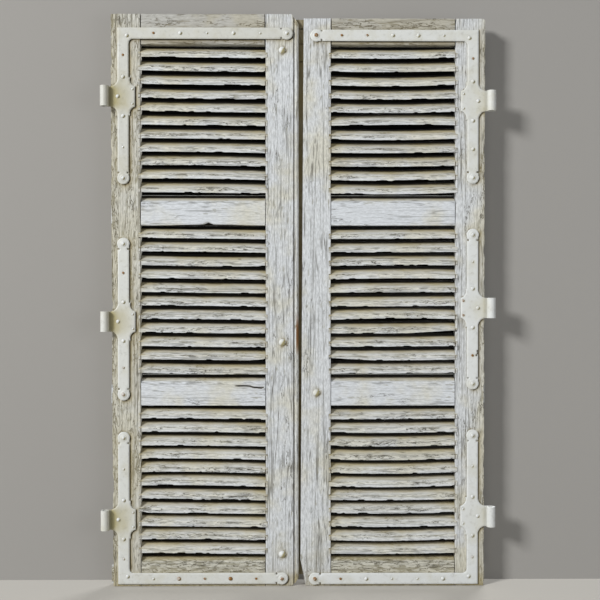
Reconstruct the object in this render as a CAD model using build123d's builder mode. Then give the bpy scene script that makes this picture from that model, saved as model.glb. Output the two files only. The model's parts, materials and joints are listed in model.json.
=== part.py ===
# A pair of old louvred shutters: two leaves of painted wood on iron strap hinges.
# Millimetres. +X is to the right, -Y is the front, +Z is up.
# The origin is at the middle of the pair's foot.
import os
from dataclasses import dataclass
from math import cos, radians, tan

from build123d import *

os.makedirs("parts", exist_ok=True)

# Leaves
left_leaf_h = 1650.0
right_leaf_short = 12.0
leaf_t = 34.0
louvre_w = 360.0
hinge_stile_w = 86.0
left_meeting_stile_w = 96.0
right_meeting_stile_w = 83.0

# Meeting of the two leaves: the left leaf's bead laps in front of the right leaf's lip
meeting_gap = 9.0
gap_taper = 10.0
bead_w = 14.0
quirk_w = 2.0
quirk_depth = 4.0
lap_w = 9.0
lap_side_clearance = 3.0
lap_face_clearance = 0.5
lip_t = 17.0

# Rails
top_rail_h = 88.0
mid_rail_h = 67.0
bottom_rail_h = 69.0
shoulder_gap = 1.2
tenon_t = 12.0
tenon_h = 42.0
tenon_from_top = 20.0
tenon_from_bottom = 12.0
tenon_clearance = 0.2
blind_tenon_stop = 24.0
wedge_l = 50.0
wedge_t = 5.0
wedge_tip_short = 5.0

# Slats
slats_in_bank = 11
slat_t = 11.0
slat_slope = 35.0
slat_proud = 2.0
slat_set_back = 1.0
trench_depth = 6.0
slat_end_clearance = 0.4
slat_top_clearance = 0.3

# Straps of the hinges
strap_w = 32.0
strap_t = 5.0
strap_edge = 1.2
strap_from_edge = 37.0
corner_inside_r = 12.0
plate_h = 58.0
plate_h_on_strap = 108.0
plate_inner_reach = 34.0
plate_ledge = 4.0
shoulder_hollow = 6.5
end_disc_r = 17.5
end_boss_r = 10.0
end_boss_h = 1.2
neck_nick_r = 3.0
neck_nick_from_disc = 15.5
neck_nick_inset = 2.4
end_boss_taper = 30.0

# Eyes of the hinges
bore_r = 7.25
eye_reach = 27.5
seam_w = 0.6

# Fasteners
screw_head_r = 5.6
screw_head_h = 3.2
screw_shank_r = 2.4
screw_grip = 24.0
nail_head_r = 3.4
nail_head_h = 1.6
nail_shank_r = 1.4
nail_grip = 18.0
pilot_clearance = 0.15
strap_hole_clearance = 0.3
screw_from_eye = 56.0
eye_screw_shift = 15.0
plate_nail_shift = 27.0
plate_nail_spread = 21.0
corner_screw_in = 11.0
corner_screw_down = 7.0

# Dome headed bolts through the meeting stiles
dome_r = 10.0
dome_h = 6.5
bolt_r = 4.0
bolt_clearance = 0.3
washer_r = 11.0
washer_t = 2.0
nut_w = 14.0
nut_t = 6.0
bolt_end = 4.0

# Damage that the leaves show
left_top_break_w = 22.0
left_top_break_h = 30.0
right_toe_w = 16.0
right_toe_h = 77.0
lip_foot_loss = 30.0
lip_nick_h = 3.5
lip_nick_depth = 4.0
lip_nick_drops = (27.0, 71.0, 122.0)

# Worked out from the sizes above
slope_tan = tan(radians(slat_slope))
nose_h = slat_t / cos(radians(slat_slope))
eye_od = 2 * (bore_r + strap_t)
bolt_back = washer_t + nut_t + bolt_end
face_y = (eye_od - leaf_t - bolt_back) / 2
back_y = face_y + leaf_t
left_leaf_w = hinge_stile_w + louvre_w + left_meeting_stile_w
right_leaf_w = hinge_stile_w + louvre_w + right_meeting_stile_w
pair_w = 2 * eye_reach + left_leaf_w + meeting_gap + right_leaf_w
eye_axis_out = eye_reach - eye_od / 2
eye_axis_y = face_y - eye_od / 2
cut_over = 0.5


@dataclass
class Hinge:
    """One strap hinge: the height of its eye, how far its strap runs up and down from there,
    which end turns into an arm along the rail, that arm's reach, and its fasteners in order."""
    name: str
    eye_z: float
    up: float
    down: float
    arm: str = ""
    arm_reach: float = 0.0
    arm_fixings: str = ""
    up_fixing: str = "N"
    down_fixing: str = "N"


@dataclass
class Leaf:
    """One leaf: its side is +1 where it runs to +X from its hinge edge, and -1 where it runs to -X."""
    name: str
    side: int
    hinge_x: float
    height: float
    width: float
    meeting_stile_w: float
    hinges: list
    bolt_heights: list

    def x(self, inward):
        """The X of a point that lies this far in from the hinge edge."""
        return self.hinge_x + self.side * inward

    def front(self, depth=0.0):
        """A plane in the leaf's face, or this far behind it: its x runs in from the hinge edge."""
        return Plane(
            origin=(self.hinge_x, face_y + depth, 0),
            x_dir=(self.side, 0, 0),
            z_dir=(0, -self.side, 0),
        )

    def forward(self, amount):
        """An extrusion amount on the front plane that runs this far towards the viewer."""
        return self.side * amount


# Hinges of both leaves: the top eye is this far below the leaf's top
top_eye_drop = 238.0

# Hinges of the left leaf: the middle one is set by its tail, which ends on the lower middle rail
left_bottom_eye_z = 194.0
left_top_arm_drop = 56.5
left_bottom_arm_z = 23.0
left_top_tail = 234.0
left_middle_rise = 224.0
left_middle_tail = 210.0
left_bottom_rise = 236.0
left_top_arm_short = 35.0
left_bottom_arm_short = 49.0

# Hinges of the right leaf: the middle one sits this much higher on its rail
right_bottom_eye_z = 203.0
right_middle_lift = 31.0
right_top_arm_drop = 50.0
right_bottom_arm_z = 22.0
right_top_tail = 220.0
right_middle_rise = 211.0
right_middle_tail = 218.0
right_bottom_rise = 233.0
right_top_arm_short = 41.0
right_bottom_arm_short = 37.0

# Heights of the dome headed bolts
left_top_bolt_drop = 104.0
left_middle_bolt_above_rail = 116.0
left_bottom_bolt_above_rail = 23.0
right_bolt_above_rail_middle = 4.0

# Rails and banks of slats share their heights, the same in both leaves except at the top rail
bank_h = (left_leaf_h - top_rail_h - 2 * mid_rail_h - bottom_rail_h) / 3
slat_pitch = (bank_h + nose_h) / (slats_in_bank + 1)
bank_bottoms = {"bottom": bottom_rail_h}
rail_bottoms = {"bottom": 0.0}
rail_bottoms["lower_middle"] = bank_bottoms["bottom"] + bank_h
bank_bottoms["middle"] = rail_bottoms["lower_middle"] + mid_rail_h
rail_bottoms["upper_middle"] = bank_bottoms["middle"] + bank_h
bank_bottoms["top"] = rail_bottoms["upper_middle"] + mid_rail_h
rail_bottoms["top"] = bank_bottoms["top"] + bank_h
lower_rail_middle = rail_bottoms["lower_middle"] + mid_rail_h / 2
right_leaf_h = left_leaf_h - right_leaf_short

left_hinges = [
    Hinge("top", left_leaf_h - top_eye_drop, top_eye_drop - left_top_arm_drop, left_top_tail,
          "up", left_leaf_w - left_top_arm_short, "NSNSN"),
    Hinge("middle", lower_rail_middle + left_middle_tail, left_middle_rise, left_middle_tail),
    Hinge("bottom", left_bottom_eye_z, left_bottom_rise, left_bottom_eye_z - left_bottom_arm_z,
          "down", left_leaf_w - left_bottom_arm_short, "NSNSN"),
]
right_hinges = [
    Hinge("top", right_leaf_h - top_eye_drop, top_eye_drop - right_top_arm_drop, right_top_tail,
          "up", right_leaf_w - right_top_arm_short, "NSSNN", down_fixing="S"),
    Hinge("middle", lower_rail_middle + right_middle_lift + right_middle_tail, right_middle_rise,
          right_middle_tail),
    Hinge("bottom", right_bottom_eye_z, right_bottom_rise, right_bottom_eye_z - right_bottom_arm_z,
          "down", right_leaf_w - right_bottom_arm_short, "SNNSN"),
]

left = Leaf("left", 1, -pair_w / 2 + eye_reach, left_leaf_h, left_leaf_w, left_meeting_stile_w, left_hinges,
            [left_leaf_h - left_top_bolt_drop, bank_bottoms["middle"] + left_middle_bolt_above_rail,
             bank_bottoms["bottom"] + left_bottom_bolt_above_rail])
right = Leaf("right", -1, pair_w / 2 - eye_reach, right_leaf_h, right_leaf_w, right_meeting_stile_w,
             right_hinges, [lower_rail_middle + right_bolt_above_rail_middle])


def save(part, name):
    """Labels a finished piece and writes it under its own name."""
    part.label = name
    export_step(part, f"parts/{name}.step")


# Slats and their trenches

def nose_bottoms(bank_bottom):
    """The lower front edges of one bank's slats, from the rail below upwards."""
    first = bank_bottom + slat_pitch - nose_h
    return [first + i * slat_pitch for i in range(slats_in_bank)]


def slanted_section(front_proud, back_extra, top_extra):
    """The side view of a slat as points (y, z) from its lower front edge: nose and tail are upright,
    and the two long sides rise towards the back."""
    y_front = face_y - front_proud
    y_back = back_y + back_extra
    z_front = (slat_proud - front_proud) * slope_tan
    rise = (y_back - y_front) * slope_tan
    tall = nose_h + top_extra
    return [
        (y_front, z_front),
        (y_back, z_front + rise),
        (y_back, z_front + rise + tall),
        (y_front, z_front + tall),
    ]


def slat_bank(leaf, bank_bottom):
    """Eleven fixed slats, each long enough to stand in the trenches of both stiles."""
    reach_in = trench_depth - slat_end_clearance
    start = leaf.x(hinge_stile_w - reach_in)
    length = louvre_w + 2 * reach_in
    with BuildPart() as bank:
        with BuildSketch(Plane.YZ.offset(start)):
            with Locations(*[(0, z) for z in nose_bottoms(bank_bottom)]):
                Polygon(*slanted_section(slat_proud, -slat_set_back, 0.0), align=None)
        extrude(amount=leaf.side * length)
    return bank.part


def cut_trenches(leaf, inner_edge, into_wood):
    """Cuts the trenches of all three banks into a stile, from its inner edge."""
    heights = [z for bottom in bank_bottoms.values() for z in nose_bottoms(bottom)]
    over = 2 * slat_proud
    with BuildSketch(Plane.YZ.offset(leaf.x(inner_edge))) as trenches:
        with Locations(*[(0, z) for z in heights]):
            Polygon(*slanted_section(over, over, slat_top_clearance), align=None)
    extrude(trenches.sketch, amount=leaf.side * into_wood * trench_depth, mode=Mode.SUBTRACT)


# Places of the tenons, the fasteners and the bolts

def tenon_bottom(leaf, rail):
    """The lower edge of a rail's tenon: low in the bottom rail, under a shoulder in the top rail."""
    if rail == "bottom":
        return tenon_from_bottom
    if rail == "top":
        return leaf.height - tenon_from_top - tenon_h
    return rail_bottoms[rail] + (mid_rail_h - tenon_h) / 2


def between(start, end, count):
    """Evenly spaced values strictly between two ends."""
    step = (end - start) / (count + 1)
    return [start + step * (i + 1) for i in range(count)]


def fixings(leaf):
    """The screws and nails of a leaf's three straps, as two lists of (inward, z, height of seat)."""
    places = {"S": [], "N": []}
    for hinge in leaf.hinges:
        eye = hinge.eye_z
        places["S"].append((strap_from_edge - eye_screw_shift, eye, strap_t))
        for way in (-1, 1):
            places["N"].append((strap_from_edge + plate_nail_shift, eye + way * plate_nail_spread, strap_t))
        for way, reach, kind in ((1, hinge.up, hinge.up_fixing), (-1, hinge.down, hinge.down_fixing)):
            places["S"].append((strap_from_edge, eye + way * screw_from_eye, strap_t))
            halfway = eye + way * (screw_from_eye + reach) / 2
            places[kind].append((strap_from_edge, halfway, strap_t))
            end_z = eye + way * reach
            if (hinge.arm == "up" and way == 1) or (hinge.arm == "down" and way == -1):
                corner = strap_from_edge + corner_screw_in
                places["S"].append((corner, end_z - way * corner_screw_down, strap_t))
                along = between(corner, hinge.arm_reach, len(hinge.arm_fixings))
                for fixing, inward in zip(hinge.arm_fixings, along):
                    places[fixing].append((inward, end_z, strap_t))
                places["S"].append((hinge.arm_reach, end_z, strap_t + end_boss_h))
            else:
                places["S"].append((strap_from_edge, end_z, strap_t + end_boss_h))
    return places["S"], places["N"]


def bolt_inward(leaf):
    """The bolts stand on the middle line of the meeting stile."""
    return leaf.width - leaf.meeting_stile_w / 2


def drill(leaf, low, high):
    """Drills the pilot holes of the straps' fasteners and the bolt holes that fall between two corners,
    each corner given as (inward, z)."""
    screws, nails = fixings(leaf)
    bolts = [(bolt_inward(leaf), z, 0.0) for z in leaf.bolt_heights]
    jobs = (
        (screws, screw_shank_r + pilot_clearance, screw_grip),
        (nails, nail_shank_r + pilot_clearance, nail_grip),
        (bolts, bolt_r + bolt_clearance, leaf_t),
    )
    for places, radius, depth in jobs:
        inside = [(i, z) for i, z, _ in places
                  if low[0] - radius < i < high[0] + radius and low[1] - radius < z < high[1] + radius]
        if inside:
            with BuildSketch(leaf.front()) as holes:
                with Locations(*inside):
                    Circle(radius)
            extrude(holes.sketch, amount=leaf.forward(-depth - pilot_clearance), mode=Mode.SUBTRACT)


# Stiles

def cut_mortises(leaf, stile_inner, stile_outer, through):
    """Cuts one mortise for each rail. A through mortise flares towards the stile's outer edge, where
    the wedges go; a blind one stops inside the wood."""
    into_wood = 1 if stile_outer > stile_inner else -1
    depth = abs(stile_outer - stile_inner)
    middle = (leaf_t - tenon_t) / 2
    for rail in rail_bottoms:
        low = tenon_bottom(leaf, rail) - tenon_clearance
        high = tenon_bottom(leaf, rail) + tenon_h + tenon_clearance
        with BuildSketch(leaf.front(middle - tenon_clearance)) as mortise:
            if through:
                narrow = stile_inner + into_wood * (depth - wedge_l)
                Polygon(
                    (stile_inner, low), (narrow, low), (stile_outer, low - wedge_t),
                    (stile_outer, high + wedge_t), (narrow, high), (stile_inner, high),
                    align=None,
                )
            else:
                stop = stile_inner + into_wood * (depth - blind_tenon_stop)
                Polygon((stile_inner, low), (stop, low), (stop, high), (stile_inner, high), align=None)
        extrude(mortise.sketch, amount=leaf.forward(-tenon_t - 2 * tenon_clearance), mode=Mode.SUBTRACT)


def hinge_stile(leaf):
    """The stile that carries the hinges: a plain board with trenches and through mortises."""
    with BuildPart() as stile:
        with BuildSketch(leaf.front()):
            with Locations((hinge_stile_w / 2, leaf.height / 2)):
                Rectangle(hinge_stile_w, leaf.height)
        extrude(amount=leaf.forward(-leaf_t))
        cut_trenches(leaf, hinge_stile_w, -1)
        cut_mortises(leaf, hinge_stile_w, 0.0, through=True)
        drill(leaf, (0.0, 0.0), (hinge_stile_w, leaf.height))
    return stile.part


def left_meeting_stile(leaf):
    """The stile with a quirk and a half-round bead on its front arris, and a rebate behind the bead.
    Its top corner is broken away."""
    inner = leaf.width - leaf.meeting_stile_w
    edge = leaf.x(leaf.width)
    bead_r = bead_w / 2
    rebate = lap_w + lap_side_clearance
    tongue_t = leaf_t - lip_t - lap_face_clearance
    with BuildPart() as stile:
        with BuildSketch(Plane.XY):
            with BuildLine():
                Polyline(
                    (edge, face_y + bead_r), (edge, face_y + tongue_t), (edge - rebate, face_y + tongue_t),
                    (edge - rebate, back_y), (leaf.x(inner), back_y), (leaf.x(inner), face_y),
                    (edge - bead_w - quirk_w, face_y), (edge - bead_w - quirk_w, face_y + quirk_depth),
                    (edge - bead_w, face_y + quirk_depth), (edge - bead_w, face_y + bead_r),
                )
                ThreePointArc(
                    (edge - bead_w, face_y + bead_r), (edge - bead_r, face_y), (edge, face_y + bead_r),
                )
            make_face()
        extrude(amount=leaf.height)
        cut_trenches(leaf, inner, 1)
        cut_mortises(leaf, inner, leaf.width, through=False)
        drill(leaf, (inner, 0.0), (leaf.width, leaf.height))
        with BuildSketch(leaf.front()):
            Polygon(
                (leaf.width - left_top_break_w, leaf.height + cut_over),
                (leaf.width + cut_over, leaf.height + cut_over),
                (leaf.width + cut_over, leaf.height - left_top_break_h),
                align=None,
            )
        extrude(amount=leaf.forward(-leaf_t), mode=Mode.SUBTRACT)
    return stile.part


def right_meeting_stile(leaf):
    """The stile with a lip behind the left leaf's bead. Its front edge was planed to a taper, its foot
    is worn away to a point, and the lip has lost its lowest end."""
    inner = leaf.width - leaf.meeting_stile_w
    top_edge = leaf.width - gap_taper / 2
    foot_edge = leaf.width + gap_taper / 2
    toe_top = foot_edge - gap_taper * right_toe_h / leaf.height
    lip_edge = leaf.width + meeting_gap + lap_w
    with BuildPart() as stile:
        with BuildSketch(leaf.front()):
            Polygon(
                (inner, 0.0), (foot_edge - right_toe_w, 0.0), (toe_top, right_toe_h),
                (top_edge, leaf.height), (inner, leaf.height),
                align=None,
            )
        extrude(amount=leaf.forward(-leaf_t))
        with BuildSketch(leaf.front(leaf_t - lip_t)):
            Polygon(
                (inner, lip_foot_loss), (lip_edge, lip_foot_loss), (lip_edge, leaf.height),
                (inner, leaf.height),
                align=None,
            )
        extrude(amount=leaf.forward(-lip_t))
        with BuildSketch(leaf.front(leaf_t - lip_t)):
            with Locations(*[((top_edge + lip_edge) / 2, leaf.height - drop) for drop in lip_nick_drops]):
                Rectangle(lip_edge - top_edge, lip_nick_h)
        extrude(amount=leaf.forward(-lip_nick_depth), mode=Mode.SUBTRACT)
        cut_trenches(leaf, inner, 1)
        cut_mortises(leaf, inner, leaf.width, through=False)
        drill(leaf, (inner, 0.0), (leaf.width, leaf.height))
    return stile.part


# Rails

def rail_height(leaf, name):
    """The height of a rail's front face."""
    if name == "top":
        return leaf.height - rail_bottoms["top"]
    return bottom_rail_h if name == "bottom" else mid_rail_h


def rail(leaf, name):
    """A rail with a through tenon at the hinge stile and a blind one at the meeting stile. The top of
    each rail below a bank slopes up to the back, as a slat does."""
    bottom = rail_bottoms[name]
    front_h = rail_height(leaf, name)
    rise = 0.0 if name == "top" else leaf_t * slope_tan
    start = hinge_stile_w + shoulder_gap
    end = hinge_stile_w + louvre_w - shoulder_gap
    tenon_low = tenon_bottom(leaf, name)
    tenon_end = leaf.width - blind_tenon_stop - shoulder_gap
    with BuildPart() as piece:
        with BuildSketch(Plane.YZ.offset(leaf.x(start))):
            Polygon(
                (face_y, bottom), (back_y, bottom), (back_y, bottom + front_h + rise),
                (face_y, bottom + front_h),
                align=None,
            )
        extrude(amount=leaf.side * (end - start))
        with BuildSketch(leaf.front((leaf_t - tenon_t) / 2)):
            with Locations((tenon_end / 2, tenon_low + tenon_h / 2)):
                Rectangle(tenon_end, tenon_h)
        extrude(amount=leaf.forward(-tenon_t))
        drill(leaf, (0.0, bottom), (leaf.width, bottom + front_h + rise))
    return piece.part


def tenon_wedges(leaf):
    """Two wedges for each through tenon, driven from the hinge stile's outer edge, above and below it."""
    with BuildPart() as wedges:
        for name in rail_bottoms:
            low = tenon_bottom(leaf, name) - tenon_clearance
            high = low + tenon_h + 2 * tenon_clearance
            with BuildSketch(leaf.front((leaf_t - tenon_t) / 2)):
                for edge_z, way in ((low, -1), (high, 1)):
                    Polygon(
                        (0.0, edge_z), (wedge_l - wedge_tip_short, edge_z),
                        (0.0, edge_z + way * (wedge_t - tenon_clearance)),
                        align=None,
                    )
            extrude(amount=leaf.forward(-tenon_t))
    return wedges.part


# Strap hinges

def plate_outline(hinge):
    """The plate around the eye's root: an arm as tall as the eye, with hollow shoulders that run into
    the strap, and a small ledge where the inner shoulders meet it."""
    eye = hinge.eye_z
    half = plate_h / 2
    foot = plate_h_on_strap / 2
    outer = strap_from_edge - strap_w / 2
    inner = strap_from_edge + strap_w / 2 + plate_ledge
    end = strap_from_edge + plate_inner_reach
    with BuildLine() as outline:
        Line((0.0, eye - half), (0.0, eye + half))
        SagittaArc((0.0, eye + half), (outer, eye + foot), -shoulder_hollow)
        Line((outer, eye + foot), (inner, eye + foot))
        SagittaArc((inner, eye + foot), (end, eye + half), -shoulder_hollow)
        Line((end, eye + half), (end, eye - half))
        SagittaArc((end, eye - half), (inner, eye - foot), -shoulder_hollow)
        Line((inner, eye - foot), (outer, eye - foot))
        SagittaArc((outer, eye - foot), (0.0, eye - half), -shoulder_hollow)
    make_face(outline.edges())


def end_disc(centre, towards_strap):
    """A round end with two nicks at its neck."""
    along_x, along_z = towards_strap
    with Locations(centre):
        Circle(end_disc_r)
    across = strap_w / 2 - neck_nick_inset
    nicks = [
        (centre[0] + along_x * neck_nick_from_disc + side * along_z * across,
         centre[1] + along_z * neck_nick_from_disc + side * along_x * across)
        for side in (-1, 1)
    ]
    with Locations(*nicks):
        Circle(neck_nick_r, mode=Mode.SUBTRACT)


def strap_ends(hinge):
    """The centres of a strap's round ends as (inward, z), each with the way back along the strap."""
    ends = []
    if hinge.arm == "up":
        ends.append(((hinge.arm_reach, hinge.eye_z + hinge.up), (-1, 0)))
    else:
        ends.append(((strap_from_edge, hinge.eye_z + hinge.up), (0, -1)))
    if hinge.arm == "down":
        ends.append(((hinge.arm_reach, hinge.eye_z - hinge.down), (-1, 0)))
    else:
        ends.append(((strap_from_edge, hinge.eye_z - hinge.down), (0, 1)))
    return ends


def strap_outline(hinge):
    """The whole strap seen from the front: the upright strip, its arm along the rail if it has one,
    the plate of the eye and the round ends."""
    top = hinge.eye_z + hinge.up
    foot = hinge.eye_z - hinge.down
    half = strap_w / 2
    low = foot - half if hinge.arm == "down" else foot
    high = top + half if hinge.arm == "up" else top
    with Locations((strap_from_edge, (low + high) / 2)):
        Rectangle(strap_w, high - low)
    if hinge.arm:
        arm_z = top if hinge.arm == "up" else foot
        way = -1 if hinge.arm == "up" else 1
        start = strap_from_edge - half
        with Locations(((start + hinge.arm_reach) / 2, arm_z)):
            Rectangle(hinge.arm_reach - start, strap_w)
        corner = (strap_from_edge + half, arm_z + way * half)
        up_the_strap = (corner[0], corner[1] + way * corner_inside_r)
        along_the_arm = (corner[0] + corner_inside_r, corner[1])
        with BuildLine() as fillet_outline:
            Polyline(up_the_strap, corner, along_the_arm)
            RadiusArc(along_the_arm, up_the_strap, way * corner_inside_r)
        make_face(fillet_outline.edges())
    plate_outline(hinge)
    for centre, towards_strap in strap_ends(hinge):
        end_disc(centre, towards_strap)


def eye_section(leaf):
    """The rolled eye seen from above: the strap's end curls forward round the bore and comes back to
    the plate's front, where a seam stays open."""
    axis_x = leaf.x(-eye_axis_out)
    root_l = eye_axis_out + strap_edge
    with Locations((axis_x, eye_axis_y)):
        Circle(eye_od / 2)
    with Locations((axis_x + leaf.side * root_l / 2, face_y - strap_t / 2)):
        Rectangle(root_l, strap_t)
    with Locations((axis_x, eye_axis_y)):
        Circle(bore_r, mode=Mode.SUBTRACT)
    seam_l = eye_od / 2
    with Locations((axis_x + leaf.side * (seam_l / 2 + seam_w), face_y - strap_t - seam_w / 2)):
        Rectangle(seam_l, seam_w, mode=Mode.SUBTRACT)


def strap_hinge(leaf, hinge):
    """A forged strap with its rolled eye, in one piece."""
    screws, nails = fixings(leaf)
    with BuildPart() as strap:
        with BuildSketch(leaf.front()):
            strap_outline(hinge)
        extrude(amount=leaf.forward(strap_t))
        arrises = strap.faces().sort_by(Axis.Y)[0].edges()
        far_from_eye = [e for e in arrises if abs(e.center().X - leaf.hinge_x) > strap_edge]
        chamfer(far_from_eye, strap_edge)
        for centre, _ in strap_ends(hinge):
            with BuildSketch(leaf.front(-strap_t)):
                with Locations(centre):
                    Circle(end_boss_r)
            extrude(amount=leaf.forward(end_boss_h), taper=end_boss_taper)
        with BuildSketch(Plane.XY.offset(hinge.eye_z - plate_h / 2)):
            eye_section(leaf)
        extrude(amount=plate_h)
        for places, radius in ((screws, screw_shank_r), (nails, nail_shank_r)):
            near = [(i, z) for i, z, _ in places]
            with BuildSketch(leaf.front(cut_over)):
                with Locations(*near):
                    Circle(radius + strap_hole_clearance)
            extrude(amount=leaf.forward(strap_t + end_boss_h + 2 * cut_over), mode=Mode.SUBTRACT)
    return strap.part


# Fasteners

def driven(leaf, places, head_r, head_h, shank_r, grip):
    """Round headed screws or nails: a low dome on a shank that runs through the strap into the wood."""
    dome_radius = (head_r**2 + head_h**2) / (2 * head_h)
    with BuildPart() as group:
        for inward, z, seat in places:
            x = leaf.x(inward)
            tip = seat + grip
            with BuildSketch(Plane(origin=(x, face_y - seat, z), x_dir=(1, 0, 0), z_dir=(0, 0, 1))):
                with BuildLine():
                    Polyline((0.0, tip), (shank_r, tip - shank_r), (shank_r, 0.0), (head_r, 0.0))
                    RadiusArc((head_r, 0.0), (0.0, -head_h), dome_radius)
                    Line((0.0, -head_h), (0.0, tip))
                make_face()
            revolve(axis=Axis((x, 0, z), (0, 1, 0)))
    return group.part


def dome_bolts(leaf):
    """Bolts with a domed head on the stile's face and a plain end behind the nut."""
    dome_radius = (dome_r**2 + dome_h**2) / (2 * dome_h)
    end = leaf_t + bolt_back
    with BuildPart() as bolts:
        for z in leaf.bolt_heights:
            x = leaf.x(bolt_inward(leaf))
            with BuildSketch(Plane(origin=(x, face_y, z), x_dir=(1, 0, 0), z_dir=(0, 0, 1))):
                with BuildLine():
                    Polyline((0.0, end), (bolt_r, end), (bolt_r, 0.0), (dome_r, 0.0))
                    RadiusArc((dome_r, 0.0), (0.0, -dome_h), dome_radius)
                    Line((0.0, -dome_h), (0.0, end))
                make_face()
            revolve(axis=Axis((x, 0, z), (0, 1, 0)))
    return bolts.part


def bolt_seats(leaf, depth, thickness, outline):
    """Washers or nuts: one flat ring for each bolt, this far behind the face."""
    with BuildPart() as rings:
        with BuildSketch(leaf.front(depth)):
            with Locations(*[(bolt_inward(leaf), z) for z in leaf.bolt_heights]):
                outline()
                Circle(bolt_r + bolt_clearance, mode=Mode.SUBTRACT)
        extrude(amount=leaf.forward(-thickness))
    return rings.part


def washer_outline():
    """A washer is round."""
    Circle(washer_r)


def nut_outline():
    """A nut is square."""
    Rectangle(nut_w, nut_w)


# Making the two leaves
for leaf in (left, right):
    save(hinge_stile(leaf), f"{leaf.name}_hinge_stile")
    for name in rail_bottoms:
        save(rail(leaf, name), f"{leaf.name}_{name}_rail")
    for name, bank_bottom in bank_bottoms.items():
        save(slat_bank(leaf, bank_bottom), f"{leaf.name}_{name}_slats")
    save(tenon_wedges(leaf), f"{leaf.name}_tenon_wedges")
    for hinge in leaf.hinges:
        save(strap_hinge(leaf, hinge), f"{leaf.name}_{hinge.name}_hinge_strap")
    screw_places, nail_places = fixings(leaf)
    save(driven(leaf, screw_places, screw_head_r, screw_head_h, screw_shank_r, screw_grip),
         f"{leaf.name}_strap_screws")
    save(driven(leaf, nail_places, nail_head_r, nail_head_h, nail_shank_r, nail_grip),
         f"{leaf.name}_strap_nails")
    save(dome_bolts(leaf), f"{leaf.name}_dome_bolts")
    save(bolt_seats(leaf, leaf_t, washer_t, washer_outline), f"{leaf.name}_bolt_washers")
    save(bolt_seats(leaf, leaf_t + washer_t, nut_t, nut_outline), f"{leaf.name}_bolt_nuts")

save(left_meeting_stile(left), "left_meeting_stile")
save(right_meeting_stile(right), "right_meeting_stile")
print("eye axes at x", round(left.x(-eye_axis_out), 3), round(right.x(-eye_axis_out), 3))
print("eye axes at y", round(eye_axis_y, 3))
print("eye heights", [round(h.eye_z, 2) for h in left.hinges + right.hinges])
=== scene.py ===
# %% [markdown]
# # A pair of old louvred shutters
# Two leaves of painted softwood hang on iron strap hinges. Each leaf is a frame of two stiles and
# four rails, with three banks of slanted slats. Decades of weather have opened the grain, bitten
# the thin edges and washed dirt in behind the ironwork.
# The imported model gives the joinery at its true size. This lesson gives every board, slat and strap
# its worn skin and its paint.

import json
import math

import bmesh
import bpy
import numpy as np
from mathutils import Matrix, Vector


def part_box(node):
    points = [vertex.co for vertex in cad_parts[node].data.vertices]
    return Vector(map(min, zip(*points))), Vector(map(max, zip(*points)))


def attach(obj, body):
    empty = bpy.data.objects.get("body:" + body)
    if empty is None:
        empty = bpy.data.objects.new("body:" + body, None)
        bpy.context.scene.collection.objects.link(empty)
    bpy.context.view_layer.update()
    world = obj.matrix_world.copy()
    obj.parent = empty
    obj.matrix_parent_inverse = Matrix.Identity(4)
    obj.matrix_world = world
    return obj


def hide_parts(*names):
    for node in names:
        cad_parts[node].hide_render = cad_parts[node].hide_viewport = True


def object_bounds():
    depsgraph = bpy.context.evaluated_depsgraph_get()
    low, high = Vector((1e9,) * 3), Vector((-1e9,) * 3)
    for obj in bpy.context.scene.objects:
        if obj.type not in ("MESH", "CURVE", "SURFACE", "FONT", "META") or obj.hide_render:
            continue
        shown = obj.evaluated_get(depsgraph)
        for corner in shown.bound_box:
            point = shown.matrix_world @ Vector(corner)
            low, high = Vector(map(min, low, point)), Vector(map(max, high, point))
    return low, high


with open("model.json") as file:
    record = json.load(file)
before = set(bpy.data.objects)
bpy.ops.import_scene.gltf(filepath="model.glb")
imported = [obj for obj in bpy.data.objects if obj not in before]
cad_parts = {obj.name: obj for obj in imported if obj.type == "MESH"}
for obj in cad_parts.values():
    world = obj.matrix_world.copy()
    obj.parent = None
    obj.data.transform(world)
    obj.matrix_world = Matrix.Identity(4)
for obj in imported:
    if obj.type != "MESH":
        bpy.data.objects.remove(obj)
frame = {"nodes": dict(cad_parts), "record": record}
cad_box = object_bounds()
MM = 0.001


# %% [markdown]
# ## Measuring the leaves
# Nothing here is placed by guess: each new skin takes its place from the box of the piece that it
# covers. A leaf is told by its hinge edge, and by the way that runs in from there, +1 or -1 in X.

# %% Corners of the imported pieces
def corners(node):
    """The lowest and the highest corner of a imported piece, as two arrays."""
    low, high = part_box(node)
    return np.array(low), np.array(high)


face_y = corners("left_bottom_rail")[0][1]
back_y = corners("left_bottom_rail")[1][1]
hinge_edge = {"left": corners("left_hinge_stile")[0][0], "right": corners("right_hinge_stile")[1][0]}
inward = {"left": 1.0, "right": -1.0}
RAILS = ("bottom", "lower_middle", "upper_middle", "top")
BANKS = ("bottom", "middle", "top")
LEVELS = ("top", "middle", "bottom")
SLATS_IN_BANK = 11
print("face at y", round(face_y, 5), "back at y", round(back_y, 5), "hinge edges", hinge_edge)


# %% [markdown]
# ## The camera
# The camera stands three metres away, at half the leaves' height and two centimetres left of the
# middle, and is turned a trace to the right and down. A camera could be aimed with a constraint, but
# a few plain numbers are easier to trust: they put every corner of the render within a pixel or two
# of the photograph.

# %% Place the camera
CAMERA_AT = (-0.0189, -3.0, 0.8597)
CAMERA_DOWN = 0.621
CAMERA_TO_RIGHT = 0.461
CAMERA_LENS = 62.2

camera_data = bpy.data.cameras.new("camera")
camera_data.lens = CAMERA_LENS
camera_data.sensor_width = 36.0
camera = bpy.data.objects.new("camera", camera_data)
camera.location = CAMERA_AT
camera.rotation_euler = (math.radians(90 - CAMERA_DOWN), 0.0, math.radians(-CAMERA_TO_RIGHT))
bpy.context.scene.collection.objects.link(camera)
bpy.context.scene.camera = camera
print("camera", CAMERA_AT, "lens", CAMERA_LENS)


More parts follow.
